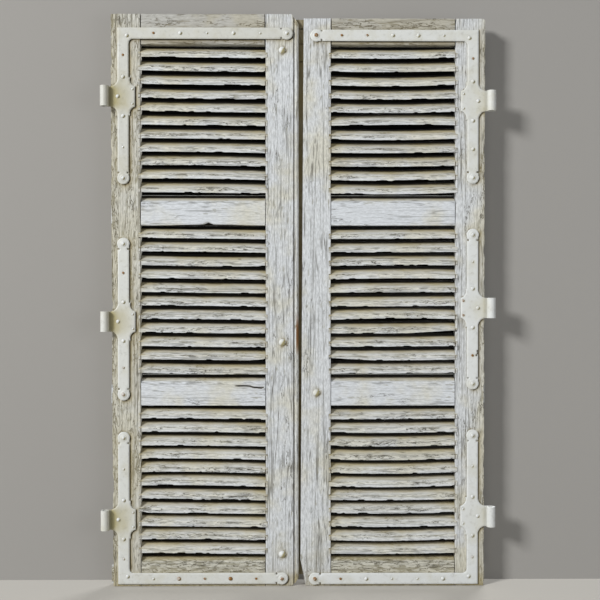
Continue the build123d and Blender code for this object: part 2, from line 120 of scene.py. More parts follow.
# %% [markdown]
# ## Noise that is worked out on whole arrays
# Wood is never regular and never quite random. The lesson needs one tool for that: a smooth noise
# of two parameters. Stretched along one of them it becomes grain. Its values lie between 0 and 1.

# %% Noise
LATTICE = 512


def noise(a, b, seed):
    """Random values stand on the whole numbers of a and b. Between them the value goes over smoothly,
    with the share 3t*t - 2t*t*t of the next one."""
    table = np.random.default_rng(seed).random((LATTICE, LATTICE))
    a, b = np.broadcast_arrays(a, b)
    a_cell, b_cell = np.floor(a).astype(int), np.floor(b).astype(int)
    ta, tb = a - a_cell, b - b_cell
    ta, tb = ta * ta * (3 - 2 * ta), tb * tb * (3 - 2 * tb)
    i, j = a_cell % LATTICE, b_cell % LATTICE
    i_next, j_next = (i + 1) % LATTICE, (j + 1) % LATTICE
    low = table[i, j] * (1 - ta) + table[i_next, j] * ta
    high = table[i, j_next] * (1 - ta) + table[i_next, j_next] * ta
    return low * (1 - tb) + high * tb


def layered(a, b, seed, layers=3):
    """Noise on noise: each layer is twice as fine and half as strong as the one before."""
    weights = 0.5 ** np.arange(layers)
    total = sum(w * noise(a * 2**k, b * 2**k, seed + k) for k, w in enumerate(weights))
    return total / weights.sum()


print("noise at a few points", np.round(noise(np.array([0.0, 0.5, 1.0]), 0.3, 1), 3))


# %% [markdown]
# ## Three ways to fade
# Wear, dirt and rounding all depend on a distance. A smooth step sets a limit, a straight fade goes
# down to nothing at its reach, and a rounded edge drops in a quarter circle. They could be written out
# at each place, but a name is read faster than a formula.

# %% Fades
def step(value, low, high):
    """0 below low and 1 above high, with a smooth way between."""
    t = np.clip((value - low) / (high - low), 0.0, 1.0)
    return t * t * (3 - 2 * t)


def fading(away, reach):
    """1 at no distance, and less in a straight line, down to 0 at the reach."""
    return np.clip(1 - away / reach, 0.0, 1.0)


def rounded_off(away, reach):
    """The drop of a rounded edge as a share: 1 - sqrt(1 - s*s), where s is the fading."""
    return 1 - np.sqrt(1 - fading(away, reach) ** 2)


print("half-way there:", step(0.5, 0, 1), fading(0.5, 1), round(float(rounded_off(0.5, 1)), 3))


# %% [markdown]
# ## How painted softwood weathers
# Rain and sun shrink the soft early wood, so the hard rings stand up as fine ridges. Paint cracks
# along them, and the cracks join into long open checks. Where water gets under it, paint comes off in
# flakes. Relief could be left to a bump texture, but then it would vanish from the outline and from
# the mesh. So it is worked out here as a depth at each point of the surface, and the same numbers
# are kept as masks, so that the colour later falls exactly into the cracks.

# %% Weathering of a board
GROUND = 0.06 * MM
WAVE, RIDGE, CHECK, FLAKE = 0.30, 0.38, 0.90, 0.35


def weathering(across, along, seed, checks=1.0, worn=0.0):
    """Depth below the sound surface, and the masks of cracks and of bare wood, at two lengths in metres.
    The depth is a slow wave, plus fine ridges, plus long checks where a stretched noise passes through
    its middle value, plus flakes where a blotchy noise is high. Wear lowers the limits of the last two.
    WAVE, RIDGE, CHECK and FLAKE are their greatest depths in millimetres."""
    wave = layered(across / 0.030, along / 0.400, seed, 2)
    ridges = noise(across / 0.0036, along / 0.140, seed + 10)
    ring = layered(across / 0.008, along / 0.240, seed + 20, 2)
    patch = layered(across / 0.050, along / 0.300, seed + 30, 2)
    patch = step(patch, 0.54 - 0.28 * worn, 0.72 - 0.28 * worn)
    check = (1 - step(np.abs(ring - 0.5), 0.0, 0.022)) * patch * checks
    blotch = layered(across / 0.0060, along / 0.030, seed + 50, 3)
    bare = step(blotch, 0.80 - 0.19 * worn, 0.86 - 0.19 * worn)
    depth = GROUND + MM * (WAVE * wave + RIDGE * ridges + CHECK * check + FLAKE * bare)
    return depth, check, bare


sample = weathering(np.linspace(0.0, 0.08, 200)[None, :], np.linspace(0.0, 0.3, 200)[:, None], 1)[0]
print("a board's relief in mm, from and to", np.round([sample.min() / MM, sample.max() / MM], 2))


# %% [markdown]
# ## A profile carried along a path
# Every board is the same idea: its section, carried along its length. The section is a ring of
# points with a normal at each, the length is a row of stations, and the two make one grid. A box
# could be subdivided and displaced instead, but evenly spaced points are wasted on the middle of a
# face. Here they stand closer together near the corners, where the board is rounded and bitten.

# %% Section
CROWDING = 0.6
BITE_REACH = 4 * MM


def around(places, reach):
    """A band about each place, from the reach before it to the reach behind it."""
    return [(place - reach, place + reach) for place in places]


def grid_lines(low, high, bands, fine, coarse):
    """Places from low to high, closely spaced inside the bands and wide apart elsewhere: the spacing
    is added up along the way and cut into equal parts."""
    place = np.linspace(low, high, 4001)
    dense = np.zeros_like(place, bool)
    for start, end in bands:
        dense |= (place >= start) & (place <= end)
    rate = np.where(dense, 1 / fine, 1 / coarse)
    total = np.concatenate([[0.0], np.cumsum(0.5 * (rate[1:] + rate[:-1]) * np.diff(place))])
    count = int(math.ceil(total[-1]))
    return np.interp(np.linspace(0.0, total[-1], count + 1), total, place)


def section(points, spacing, rounding):
    """A closed outline, counter-clockwise, cut into short runs. Each corner has its own rounding, and each
    edge its own spacing, both in metres, or the list of shares where its points stand. With a spacing,
    the point at share t moves to t - CROWDING sin(2 pi t) / (2 pi), towards the corners.
    Gives the points, their normals, the way round, and the rounding and distance of the nearest corner."""
    points = np.asarray(points, float)
    following = np.roll(points, -1, axis=0)
    rows = {"at": [], "normal": [], "round": [], "away": []}
    edges = following - points
    lengths = np.linalg.norm(edges, axis=1)
    normals = np.stack([edges[:, 1], -edges[:, 0]], 1) / lengths[:, None]
    for k in range(len(points)):
        if np.ndim(spacing[k]):
            t = spacing[k]
        else:
            t = np.arange(max(1, int(round(lengths[k] / spacing[k]))))
            t = t / len(t)
            t = t - CROWDING * np.sin(2 * math.pi * t) / (2 * math.pi)
        count = len(t)
        rows["at"].append(points[k] + t[:, None] * edges[k])
        normal = np.tile(normals[k], (count, 1))
        mitre = normals[k] + normals[k - 1]
        normal[0] = mitre / np.linalg.norm(mitre)
        rows["normal"].append(normal)
        nearer_start = t <= 0.5
        rows["round"].append(np.where(nearer_start, rounding[k], rounding[(k + 1) % len(points)]))
        rows["away"].append(np.where(nearer_start, t, 1 - t) * lengths[k])
    ring = {name: np.concatenate(values) for name, values in rows.items()}
    gaps = np.linalg.norm(np.roll(ring["at"], -1, axis=0) - ring["at"], axis=1)
    ring["way"] = np.concatenate([[0.0], np.cumsum(gaps)[:-1]])
    return ring


def shares(start, end, marks, near=4 * MM, fine=1.1 * MM, coarse=2.4 * MM):
    """Shares of the way from start to end, close together at both ends and at the marks between."""
    low, high = min(start, end), max(start, end)
    bands = around((low, high, *marks), near)
    lines = (grid_lines(low, high, bands, fine, coarse) - low) / (high - low)
    return lines[:-1] if end > start else 1 - lines[:0:-1]


def arris_loss(ring, along, seed, bite, often=0.62):
    """What is lost at the corners of a section. A corner of radius r takes r - sqrt(r*r - (r - d)*(r - d))
    at the distance d from it, and bites, where a noise along the board is high, take up to their size
    there and fade out over BITE_REACH."""
    radius = np.maximum(ring["round"], 1e-9)
    short = np.clip(radius - ring["away"], 0.0, radius)
    rounded = radius - np.sqrt(radius**2 - short**2)
    rounded = np.where(ring["away"] < 1e-9, 0.414 * radius, rounded)
    corner = np.floor(ring["way"] / 0.02)
    bites = step(layered(along[:, None] / 0.016, corner[None, :] * 7.3, seed + 60, 3), often, often + 0.16)
    near_corner = fading(ring["away"], BITE_REACH) ** 2 * (ring["round"] > 0)
    return rounded[None, :] + bite * bites * near_corner[None, :], bites * near_corner[None, :]


sample = section([(0, 0), (0.08, 0), (0.08, 0.03), (0, 0.03)], [3 * MM] * 4, [MM] * 4)
print("a board's section has", len(sample["way"]), "points round", round(float(sample["way"][-1]), 3), "m")


# %% [markdown]
# ## From the section to a mesh
# Every station copies the section, with each point pushed inwards by its own depth. Neighbours on
# the grid are joined to faces with four corners, and one face closes each end. An array modifier
# could stack the sections too, but it can't give every point its own depth. The masks are written
# as attributes, one number for each point, because they stay with their points when the board is
# cut, and a material can read them.

# %% Sweep and mesh
def sweep(ring, along, depth, axis):
    """The grid of a section carried along axis 0 or 2: each point lies its depth inside the outline."""
    flat = ring["at"][None, :, :] - depth[:, :, None] * ring["normal"][None, :, :]
    far = np.broadcast_to(along[:, None] if along.ndim == 1 else along, depth.shape)
    columns = [flat[..., 0], flat[..., 1]]
    columns.insert(axis, far)
    return np.stack(columns, -1)


def tubes_mesh(name, grids, masks):
    """Closed tubes in one mesh, each from a grid whose second parameter goes round, with a face at each
    end. The grids have one size, and each comes with its own masks."""
    rows, columns = grids[0].shape[:2]
    i = np.arange(rows - 1)[:, None] * columns
    j = np.arange(columns)[None, :]
    j_next = (j + 1) % columns
    quads = np.stack([i + j, i + j_next, i + columns + j_next, i + columns + j], -1).reshape(-1, 4)
    start = np.arange(columns)[::-1]
    end = np.arange(columns) + (rows - 1) * columns
    faces = []
    for k in range(len(grids)):
        first = k * rows * columns
        faces += (quads + first).tolist() + [(start + first).tolist(), (end + first).tolist()]
    mesh = bpy.data.meshes.new(name)
    mesh.from_pydata(np.concatenate([grid.reshape(-1, 3) for grid in grids]), [], faces)
    for mask in masks[0]:
        put(mesh, mask, np.concatenate([own[mask].ravel() for own in masks]))
    return mesh


def board_skin(node, grid, crack, bare, bites):
    """One board's skin with its masks. Where its arrises are bitten, the wood is bare as well."""
    masks = {"crack": crack, "bare": np.maximum(bare, step(bites, 0.2, 0.6))}
    return tubes_mesh(node + "_skin", [grid], [masks])


def put(mesh, name, values):
    """Writes one number for each point of a mesh, under a name that a material can read."""
    layer = mesh.attributes.get(name) or mesh.attributes.new(name, "FLOAT", "POINT")
    layer.data.foreach_set("value", values.astype(np.float32).ravel())


def points_of(mesh):
    """All points of a mesh as an array."""
    flat = np.zeros(len(mesh.vertices) * 3, np.float32)
    mesh.vertices.foreach_get("co", flat)
    return flat.reshape(-1, 3).astype(float)


print("points of a packed stile", len(points_of(frame["nodes"]["left_hinge_stile"].data)))


# %% [markdown]
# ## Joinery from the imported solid, skin from the grid
# Trenches, mortises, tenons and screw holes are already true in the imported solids. Cutting them
# again would be work twice over. So the weathered board is intersected with a merged copy of the
# solid that it covers: the grid lies a hair inside the solid's faces and gives the skin, and the
# solid gives every cut. The Manifold solver keeps the masks and leaves a closed mesh.

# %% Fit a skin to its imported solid
SHARP = math.radians(42)


def merged_copy(node):
    """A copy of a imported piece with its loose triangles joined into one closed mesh."""
    mesh = frame["nodes"][node].data.copy()
    work = bmesh.new()
    work.from_mesh(mesh)
    bmesh.ops.remove_doubles(work, verts=work.verts, dist=0.001 * MM)
    work.to_mesh(mesh)
    work.free()
    return mesh


def linked(name, mesh):
    """A new object at the origin that shows a mesh."""
    piece = bpy.data.objects.new(name, mesh)
    bpy.context.scene.collection.objects.link(piece)
    return piece


def fitted(name, mesh, node):
    """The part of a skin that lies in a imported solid, as a new piece with soft shading."""
    piece = linked(name, mesh)
    solid = linked("solid", merged_copy(node))
    cut = piece.modifiers.new("cut", "BOOLEAN")
    cut.operation = "INTERSECT"
    cut.solver = "MANIFOLD"
    cut.object = solid
    whole = bpy.data.meshes.new_from_object(piece.evaluated_get(bpy.context.evaluated_depsgraph_get()))
    piece.modifiers.clear()
    piece.data = whole
    bpy.data.objects.remove(solid)
    soften(whole)
    return piece


def soften(mesh):
    """Smooth shading, with the edges sharper than the limit kept sharp."""
    for leftover in ("custom_normal", "sharp_face", "sharp_edge"):
        if leftover in mesh.attributes:
            mesh.attributes.remove(mesh.attributes[leftover])
    mesh.polygons.foreach_set("use_smooth", np.ones(len(mesh.polygons), bool))
    mesh.set_sharp_from_angle(angle=SHARP)
    mesh.update()


pieces = {}


def triangles_in(piece):
    """How many triangles a piece's faces come to."""
    return sum(len(face.vertices) - 2 for face in piece.data.polygons)


def keep(piece, side, node):
    """Hands a finished piece over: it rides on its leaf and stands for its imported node."""
    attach(piece, side + "_leaf")
    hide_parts(node)
    pieces[piece.name] = piece
    print(piece.name, "triangles", triangles_in(piece))


# %% [markdown]
# ## Where the ironwork lies
# Water runs off the straps and leaves its dirt beside and below them. To paint that, the wood has
# to know how far each point is from the nearest strap. The outlines could be drawn a second time,
# but then they might not match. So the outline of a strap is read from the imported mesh, as the
# border of its flat back.

# %% Outlines of the straps
STRAP_W = 32.0 * MM
STRIP_IN = 37.0 * MM
DISC_R = 17.5 * MM
strip_x = {side: hinge_edge[side] + inward[side] * STRIP_IN for side in inward}


def arm_edges(side):
    """The heights of the upper and lower edges of a leaf's two level arms."""
    top_arm = corners(side + "_top_hinge_strap")[1][2] - DISC_R
    foot_arm = corners(side + "_bottom_hinge_strap")[0][2] + DISC_R
    return [arm + way * STRAP_W / 2 for arm in (top_arm, foot_arm) for way in (-1, 1)]


def back_outline(node):
    """The border of a strap's flat back: the edges in the wood's face that bound one flat triangle."""
    mesh = merged_copy(node)
    at = points_of(mesh)
    flat = np.abs(at[:, 1] - face_y) < 0.01 * MM
    in_plane = [p.vertices[:] for p in mesh.polygons if flat[list(p.vertices)].all()]
    triangles = np.array([t for t in in_plane if len(t) == 3])
    edges = np.sort(np.concatenate([triangles[:, [0, 1]], triangles[:, [1, 2]], triangles[:, [2, 0]]]), 1)
    unique, counts = np.unique(edges, axis=0, return_counts=True)
    border = unique[counts == 1]
    bpy.data.meshes.remove(mesh)
    return at[border][:, :, [0, 2]]


def nearest(segments, x, z, reach):
    """The way from the nearest point of an outline to each point (x, z), and its length up to a reach.
    On a segment from a to b the nearest point is a + t (b - a), with t cut off at 0 and 1."""
    low, high = segments.min(axis=(0, 1)) - reach, segments.max(axis=(0, 1)) + reach
    close = (x > low[0]) & (x < high[0]) & (z > low[1]) & (z < high[1])
    here = np.stack([x[close], z[close]], 1)
    best, best_way = np.full(len(here), reach), np.full((len(here), 2), reach)
    for start, end in segments:
        run = end - start
        t = np.clip((here - start) @ run / max(run @ run, 1e-12), 0.0, 1.0)
        gap = here - (start + t[:, None] * run)
        far = np.hypot(gap[:, 0], gap[:, 1])
        closer = far < best
        best[closer] = far[closer]
        best_way[closer] = gap[closer]
    all_far, all_way = np.full(x.shape, reach), np.full(x.shape + (2,), reach)
    all_far[close] = best
    all_way[close] = best_way
    return all_way, all_far


outlines = {}
for side in inward:
    for level in LEVELS:
        outlines[side, level] = back_outline(f"{side}_{level}_hinge_strap")
    print(side, "outline edges", [len(outlines[side, level]) for level in LEVELS])


# %% [markdown]
# ## The side that the weather spares and the light misses
# Sun and rain come from the upper left. What they wash off settles to the lower right of whatever stands
# proud of the boards, and stays there. The light comes from the upper left as well, so that side is also in
# shade. So a strap's edge and a screw's head each have a clean side and a side with dirt, whose dark is
# partly painted shadow. The places of the heads are read from the imported pieces, which are groups of
# separate solids.

# %% Heads and the side away from the light
LEE_AND_SHADOW_WAY = (0.85, -0.55)
HALO = 2.5 * MM
HEADS_APART = 12 * MM
HEAD_R = {"strap_screws": 4.5 * MM, "strap_nails": 2.5 * MM, "dome_bolts": 9.0 * MM}


def heads(node):
    """The middles of a node's separate fasteners: points nearer than a head's width belong together."""
    at = points_of(frame["nodes"][node].data)[:, [0, 2]]
    middles = []
    while len(at):
        own = np.hypot(*(at - at[0]).T) < HEADS_APART
        middles.append(0.5 * (at[own].min(axis=0) + at[own].max(axis=0)))
        at = at[~own]
    return middles


def lee_and_shadow_side(dx, dz):
    """How far a way points to the side that the weather spares and the light misses, right and down: 0 to 1.
    """
    far = np.maximum(np.hypot(dx, dz), 1e-6)
    return np.clip((LEE_AND_SHADOW_WAY[0] * dx + LEE_AND_SHADOW_WAY[1] * dz) / far, 0.0, 1.0)


def round_heads(middles, radius, x, z):
    """Dirt and painted shadow about fasteners: exp(-distance beyond the head / HALO), most of it on the lower
    right, away from the light.
    """
    mask = np.zeros(x.shape)
    for middle_x, middle_z in middles:
        dx, dz = x - middle_x, z - middle_z
        beyond = np.clip(np.hypot(dx, dz) - radius, 0.0, None)
        mask = np.maximum(mask, np.exp(-beyond / HALO) * (0.25 + 0.75 * lee_and_shadow_side(dx, dz)))
    return mask


for kind in HEAD_R:
    print(kind, {side: len(heads(f"{side}_{kind}")) for side in inward})


# %% [markdown]
# ## Dirt and painted shadow on the boards
# The yellow-brown film is thickest to the right of a strap and under it. Close beside the iron it is nearly
# black, painted shadow of the strap together with caked dirt, and goes over to dark brown a few millimetres
# on, further on the left leaf than on the right one. The feet of the leaves have stood in splashes. Such
# marks could be painted by hand, but a mask that is worked out from distances fits every board, and stays
# right when a size changes.

# %% Dirt and painted shadow masks
DIRT_REACH = 30 * MM
FILM_REACH = 9 * MM
SHADOW_AND_SOOT, SHADOW_AND_SOOT_REACH = 0.74, 4.2 * MM
SHADOW_AND_SOOT_TAIL, TAIL_REACH = {"left": 0.34, "right": 0.16}, 7 * MM
SPLASH, SPLASH_REACH = 0.45, 50 * MM


def dirty_and_shaded(piece, side, worn=0.0, more=0.0, deep=0.0):
    """Writes the masks of dirt, of dark and of wear. Near a strap the dirt is exp(-distance / FILM_REACH),
    and the dark, painted shadow of the strap together with caked dirt, is SHADOW_AND_SOOT exp(-(distance /
    SHADOW_AND_SOOT_REACH)^2) with a tail exp(-distance / TAIL_REACH), all on the side that the weather spares
    and the light misses. Splashes are SPLASH exp(-height / SPLASH_REACH)."""
    at = points_of(piece.data)
    x, y, z = at.T
    on_face = y < face_y + 2.5 * MM
    film, shadow_and_soot_mask = np.zeros(len(at)), np.zeros(len(at))
    for level in LEVELS:
        way, far = nearest(outlines[side, level], x, z, DIRT_REACH)
        lee_and_shadow = lee_and_shadow_side(way[:, 0], way[:, 1])
        reached = far < DIRT_REACH
        film = np.maximum(film, np.exp(-far / FILM_REACH) * (0.25 + 0.90 * lee_and_shadow) * reached)
        dark = SHADOW_AND_SOOT * np.exp(-((far / SHADOW_AND_SOOT_REACH) ** 2)) + SHADOW_AND_SOOT_TAIL[side] * np.exp(-far / TAIL_REACH)
        shadow_and_soot_mask = np.maximum(shadow_and_soot_mask, dark * lee_and_shadow * reached)
    # Round the dome bolts the wood gets dirt and painted shadow of their heads, most of it on their lower
    # right.
    bolts = round_heads(heads(side + "_dome_bolts"), HEAD_R["dome_bolts"], x, z)
    splash = SPLASH * np.exp(-z / SPLASH_REACH)
    film = np.maximum(film, 0.8 * bolts) * on_face + splash + more
    put(piece.data, "dirt", np.clip(film, 0.0, 1.0))
    shadow_and_soot_mask = np.maximum(shadow_and_soot_mask, 0.5 * bolts)
    put(piece.data, "deep", np.clip(shadow_and_soot_mask * on_face + deep, 0.0, 1.0))
    put(piece.data, "worn", np.clip(worn + np.zeros(len(at)), 0.0, 1.0))


print("the film is at half its strength", round(FILM_REACH * math.log(2) / MM, 1), "mm from a strap")


# %% [markdown]
# ## Hinge stiles
# The outer stile of each leaf is a plain board, 86 by 34 mm. Its outer arris is the most bitten edge of the
# whole shutter, and at the foot of the left leaf it has been planed and rubbed away by some millimetres. The
# inner arris is sheltered by the slats, and the walls of their trenches are painted near black, as shade. A
# box with a bevel would have the size, but a swept section can also lose a little more at each place.

# %% Hinge stiles
ALONG_STEP = 6.5 * MM
FRONT_STEP = 1.7 * MM
PLAIN_STEP = 3.4 * MM
FOOT_WEAR = {"left": 4.5 * MM, "right": 1.5 * MM}
HEAD_ROUND = {"left": 1.5 * MM, "right": 9.0 * MM}
STILE_WEAR = {"left": 0.56, "right": 0.16}
RAGGED, END_REACH = 1.6 * MM, 80 * MM
RUB_REACH = 30 * MM


def upright_stations(side, low, high):
    """Places up a stile, close together at both ends and beside the edges of the straps' arms."""
    return grid_lines(low, high, around((low, high, *arm_edges(side)), 4 * MM), 1.6 * MM, ALONG_STEP)


def ragged_ends(along, ring, seed, foot_loss=0.0, head_loss=0.0):
    """Stations whose first and last rows are uneven: both ends lose up to RAGGED by a noise round the
    section, and as much more as they are told. Only the last END_REACH of a board shifts with its end."""
    foot = RAGGED * layered(ring["way"] / 0.006, 0.5, seed + 70, 3) + foot_loss
    head = RAGGED * layered(ring["way"] / 0.006, 9.5, seed + 71, 3) + head_loss
    near_foot = fading(along - along[0], END_REACH)
    near_head = fading(along[-1] - along, END_REACH)
    return along[:, None] + near_foot[:, None] * foot[None, :] - near_head[:, None] * head[None, :]


def trench_walls(at, inner_edge, way):
    """1 on the walls of the slats' trenches, which get painted shade: points inside the stile, behind its
    inner edge and between its front and back skins."""
    inside = (inner_edge - at[:, 0]) * way
    between = (at[:, 1] > face_y + 1.5 * MM) & (at[:, 1] < back_y - 1.5 * MM)
    return 1.0 * ((inside > 1.3 * MM) & (inside < 8 * MM) & between)


def stile_wear(side, away):
    """Wear at a distance from a hinge stile's outer edge: its leaf's own, plus 0.6 exp(-distance / 14 mm)."""
    return STILE_WEAR[side] + 0.60 * np.exp(-away / 0.014)


def rubbed_edge(side, along, low, high, seed):
    """What is rubbed off a stile's outer edge at each height: a wear that grows towards the foot with the
    power 1.5, plus two noises, a long low one and a short one that is cut off to single bites."""
    lowness = 1 - (along - low[2]) / (high[2] - low[2])
    rubbed = FOOT_WEAR[side] * lowness**1.5 + 2.2 * MM * layered(along / 0.11, 0.3, seed + 80, 3)
    return rubbed + 2.6 * MM * step(layered(along / 0.022, 0.7, seed + 81, 3), 0.50, 0.74)


def hinge_stile(side):
    """A rectangle carried up the leaf, with relief on all four sides and a wavy, worn outer edge."""
    node = side + "_hinge_stile"
    low, high = corners(node)
    seed = 100 if side == "left" else 200
    outline = [(low[0], low[1]), (high[0], low[1]), (high[0], high[1]), (low[0], high[1])]
    front = shares(low[0], high[0], [strip_x[side] - STRAP_W / 2, strip_x[side] + STRAP_W / 2])
    ring = section(outline, [front, PLAIN_STEP, PLAIN_STEP, PLAIN_STEP], [1.6 * MM] * 4)
    along = upright_stations(side, low[2], high[2])
    margin = np.abs(ring["at"][:, 0] - hinge_edge[side])
    worn = stile_wear(side, margin)
    depth, crack, bare = weathering(ring["way"][None, :], along[:, None], seed, worn=worn[None, :])
    lost, bites = arris_loss(ring, along, seed, 3.2 * MM, 0.58)
    head_loss = HEAD_ROUND[side] * rounded_off(margin, HEAD_ROUND[side])
    uneven = ragged_ends(along, ring, seed, head_loss=head_loss)
    grid = sweep(ring, uneven, depth + lost, 2)
    near_edge = fading(margin, RUB_REACH)
    grid[..., 0] += inward[side] * rubbed_edge(side, along, low, high, seed)[:, None] * near_edge[None, :]
    piece = fitted(side + "_hinge_stile_board", board_skin(node, grid, crack, bare, bites), node)
    at = points_of(piece.data)
    inner_edge = high[0] if side == "left" else low[0]
    outer = np.abs(at[:, 0] - hinge_edge[side])
    dirty_and_shaded(piece, side, worn=stile_wear(side, outer),
          more=0.36 * STILE_WEAR[side] + 0.20 * np.exp(-outer / 0.012),
          deep=0.9 * trench_walls(at, inner_edge, inward[side]))
    keep(piece, side, node)


for side in inward:
    hinge_stile(side)


# %% [markdown]
# ## The left meeting stile
# It ends in a half-round bead behind a narrow groove, the quirk, and its bead laps over a lip on the
# other leaf. Its section is drawn corner by corner, and the arc of the bead is a row of short edges
# without rounding. The bead is rotten at both ends and rubbed bare where hands pulled the leaf shut.
# That rot has to show in the outline, so there the ends of the board itself draw back.

# %% Left meeting stile
BEAD_R = 7.0 * MM
QUIRK_W = 2.0 * MM
QUIRK_DEPTH = 4.0 * MM
TONGUE_T = 16.5 * MM
REBATE_W = 12.0 * MM
BEAD_EDGES = 10
HEAD_ROT_W, HEAD_ROT_H = 17.0 * MM, 27.0 * MM
FOOT_ROT_W, FOOT_ROT_H = 22.0 * MM, 24.0 * MM
RUBBED_Z, RUBBED_REACH = 0.726, 0.050


def left_meeting_outline(low, high):
    """The left stile's section from its inner front corner: the flat face, the quirk, the bead as a half
    circle, the tongue and the rebate behind it."""
    edge, front, back = high[0], low[1], high[1]
    turn = np.linspace(math.pi, 2 * math.pi, BEAD_EDGES + 1)
    bead = [(edge - BEAD_R + BEAD_R * math.cos(a), front + BEAD_R + BEAD_R * math.sin(a)) for a in turn]
    groove = edge - 2 * BEAD_R
    outline = [(low[0], front), (groove - QUIRK_W, front), (groove - QUIRK_W, front + QUIRK_DEPTH),
               (groove, front + QUIRK_DEPTH)] + bead
    outline += [(edge, front + TONGUE_T), (edge - REBATE_W, front + TONGUE_T), (edge - REBATE_W, back),
                (low[0], back)]
    rounding = [1.4 * MM, 0.6 * MM, 0.0, 0.0] + [0.0] * len(bead) + [0.8 * MM, 0.0, 1.2 * MM, 1.4 * MM]
    spacing = [FRONT_STEP, 2 * MM, 2 * MM, 2 * MM] + [3 * MM] * (len(bead) - 1)
    spacing += [PLAIN_STEP, 4 * MM, PLAIN_STEP, PLAIN_STEP, PLAIN_STEP]
    return outline, spacing, rounding


def meeting_skin(side, ring, seed, foot_loss=0.0, head_loss=0.0):
    """A meeting stile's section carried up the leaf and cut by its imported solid."""
    node = side + "_meeting_stile"
    low, high = corners(node)
    along = upright_stations(side, low[2], high[2])
    depth, crack, bare = weathering(ring["way"][None, :], along[:, None], seed, worn=0.12)
    lost, bites = arris_loss(ring, along, seed, 2.0 * MM, 0.66)
    uneven = ragged_ends(along, ring, seed, foot_loss, head_loss)
    grid = sweep(ring, uneven, depth + lost, 2)
    return fitted(side + "_meeting_stile_board", board_skin(node, grid, crack, bare, bites), node)


def rotten_end(from_edge, width, height, power=1.0):
    """How far rot has eaten up a board's end: height (1 - distance from the bead's edge / width)^power."""
    return height * fading(from_edge, width) ** power


def rot_stain(from_edge, z, top):
    """The grey of the rotten ends: 1 in the last three centimetres, and exp(-distance / 12 mm) further in,
    both fading out to the inner side of the bead."""
    from_head = np.clip(top - z - 0.030, 0, None)
    from_foot = np.clip(z - 0.028, 0, None)
    return (np.exp(-from_head / 0.012) + np.exp(-from_foot / 0.012)) * step(-from_edge, -0.026, -0.012)


def left_meeting_stile():
    """The beaded stile, with its rotten corners, painted shade in its quirk and on the flank by the gap, and
    its rubbed bead.
    """
    node = "left_meeting_stile"
    low, high = corners(node)
    ring = section(*left_meeting_outline(low, high))
    away = high[0] - ring["at"][:, 0]
    piece = meeting_skin("left", ring, 300, rotten_end(away, FOOT_ROT_W, FOOT_ROT_H, 1.5),
                         rotten_end(away, HEAD_ROT_W, HEAD_ROT_H))
    at = points_of(piece.data)
    x, y, z = at.T
    from_edge = high[0] - x
    # The quirk and the flank beside the gap get painted shade, the flank in yellow-brown as well.
    quirk = (np.abs(from_edge - 2 * BEAD_R - 0.5 * QUIRK_W) < 2.2 * MM) & (y > face_y + 1.0 * MM)
    flank = (from_edge < 1.5 * MM) & (y > face_y + 5 * MM)
    rot = rot_stain(from_edge, z, high[2])
    rubbed = np.exp(-((z - RUBBED_Z) / RUBBED_REACH) ** 4) * (from_edge < 9 * MM)
    dirty_and_shaded(piece, "left", worn=0.15 + 0.7 * rot,
          more=0.9 * flank + 0.35 * rot + 0.05 + 0.16 * (from_edge < 2 * BEAD_R),
          deep=0.45 * quirk + 0.45 * flank + 0.9 * trench_walls(at, low[0], -1.0))
    put(piece.data, "fresh", rubbed)
    keep(piece, "left", node)


left_meeting_stile()


# %% [markdown]
# ## The right meeting stile
# Its face ends where a lip steps back, half the thickness deep, for the left leaf's bead to lie in. The lip
# lies in the shade of the bead and of its own step, so it is painted brown and dark, as shade, and worn a
# little more. The board was planed to a taper. The imported solid has that taper and cuts the skin, so the
# section is simply drawn a little too wide.

# %% Right meeting stile
LIP_T = 17.0 * MM
LIP_BEYOND_FACE = 13.0 * MM


def right_meeting_outline(low, high):
    """The right stile's section: the face ends where the lip steps back, half the thickness deep."""
    step_x = low[0] + LIP_BEYOND_FACE
    front, back = low[1], high[1]
    outline = [(low[0], back - LIP_T), (step_x, back - LIP_T), (step_x, front), (high[0], front),
               (high[0], back), (low[0], back)]
    spacing = [2.4 * MM, 3.4 * MM, FRONT_STEP, PLAIN_STEP, PLAIN_STEP, PLAIN_STEP]
    return outline, spacing, [1.0 * MM, 0.0, 1.2 * MM, 1.4 * MM, 1.4 * MM, 1.0 * MM]


def right_meeting_stile():
    """The lipped stile, with painted shade on its lip."""
    node = "right_meeting_stile"
    low, high = corners(node)
    piece = meeting_skin("right", section(*right_meeting_outline(low, high)), 400)
    at = points_of(piece.data)
    x, y, _ = at.T
    # The lip gets yellow-brown and dark as painted shade behind the bead.
    lip = (y > face_y + 3 * MM) & (x < 0.5 * (low[0] + high[0])) & (y < back_y - 1.5 * MM)
    dirty_and_shaded(piece, "right", worn=0.15 + 0.3 * lip, more=0.95 * lip + 0.06,
          deep=0.42 * lip + 0.9 * trench_walls(at, high[0], 1.0))
    keep(piece, "right", node)


right_meeting_stile()


# %% [markdown]
# ## Rails
# The grain of a rail runs across the leaf, so the section stands in Y and Z and is carried along X.
# The middle and bottom rails slope up behind their front edge, like one more slat. Rain stands on
# that slope, which is why its edge is the most broken. The top and bottom rails have lost most of
# their paint. Where a rail meets a stile its face is rounded over, and the joint shows as a dark line.
# In the left leaf the upper middle rail has lost a bite of its foot, in the middle of a long shallow
# hollow, and the lower middle rail has an open split. Both are worked into the grid, so that they
# have real depth.

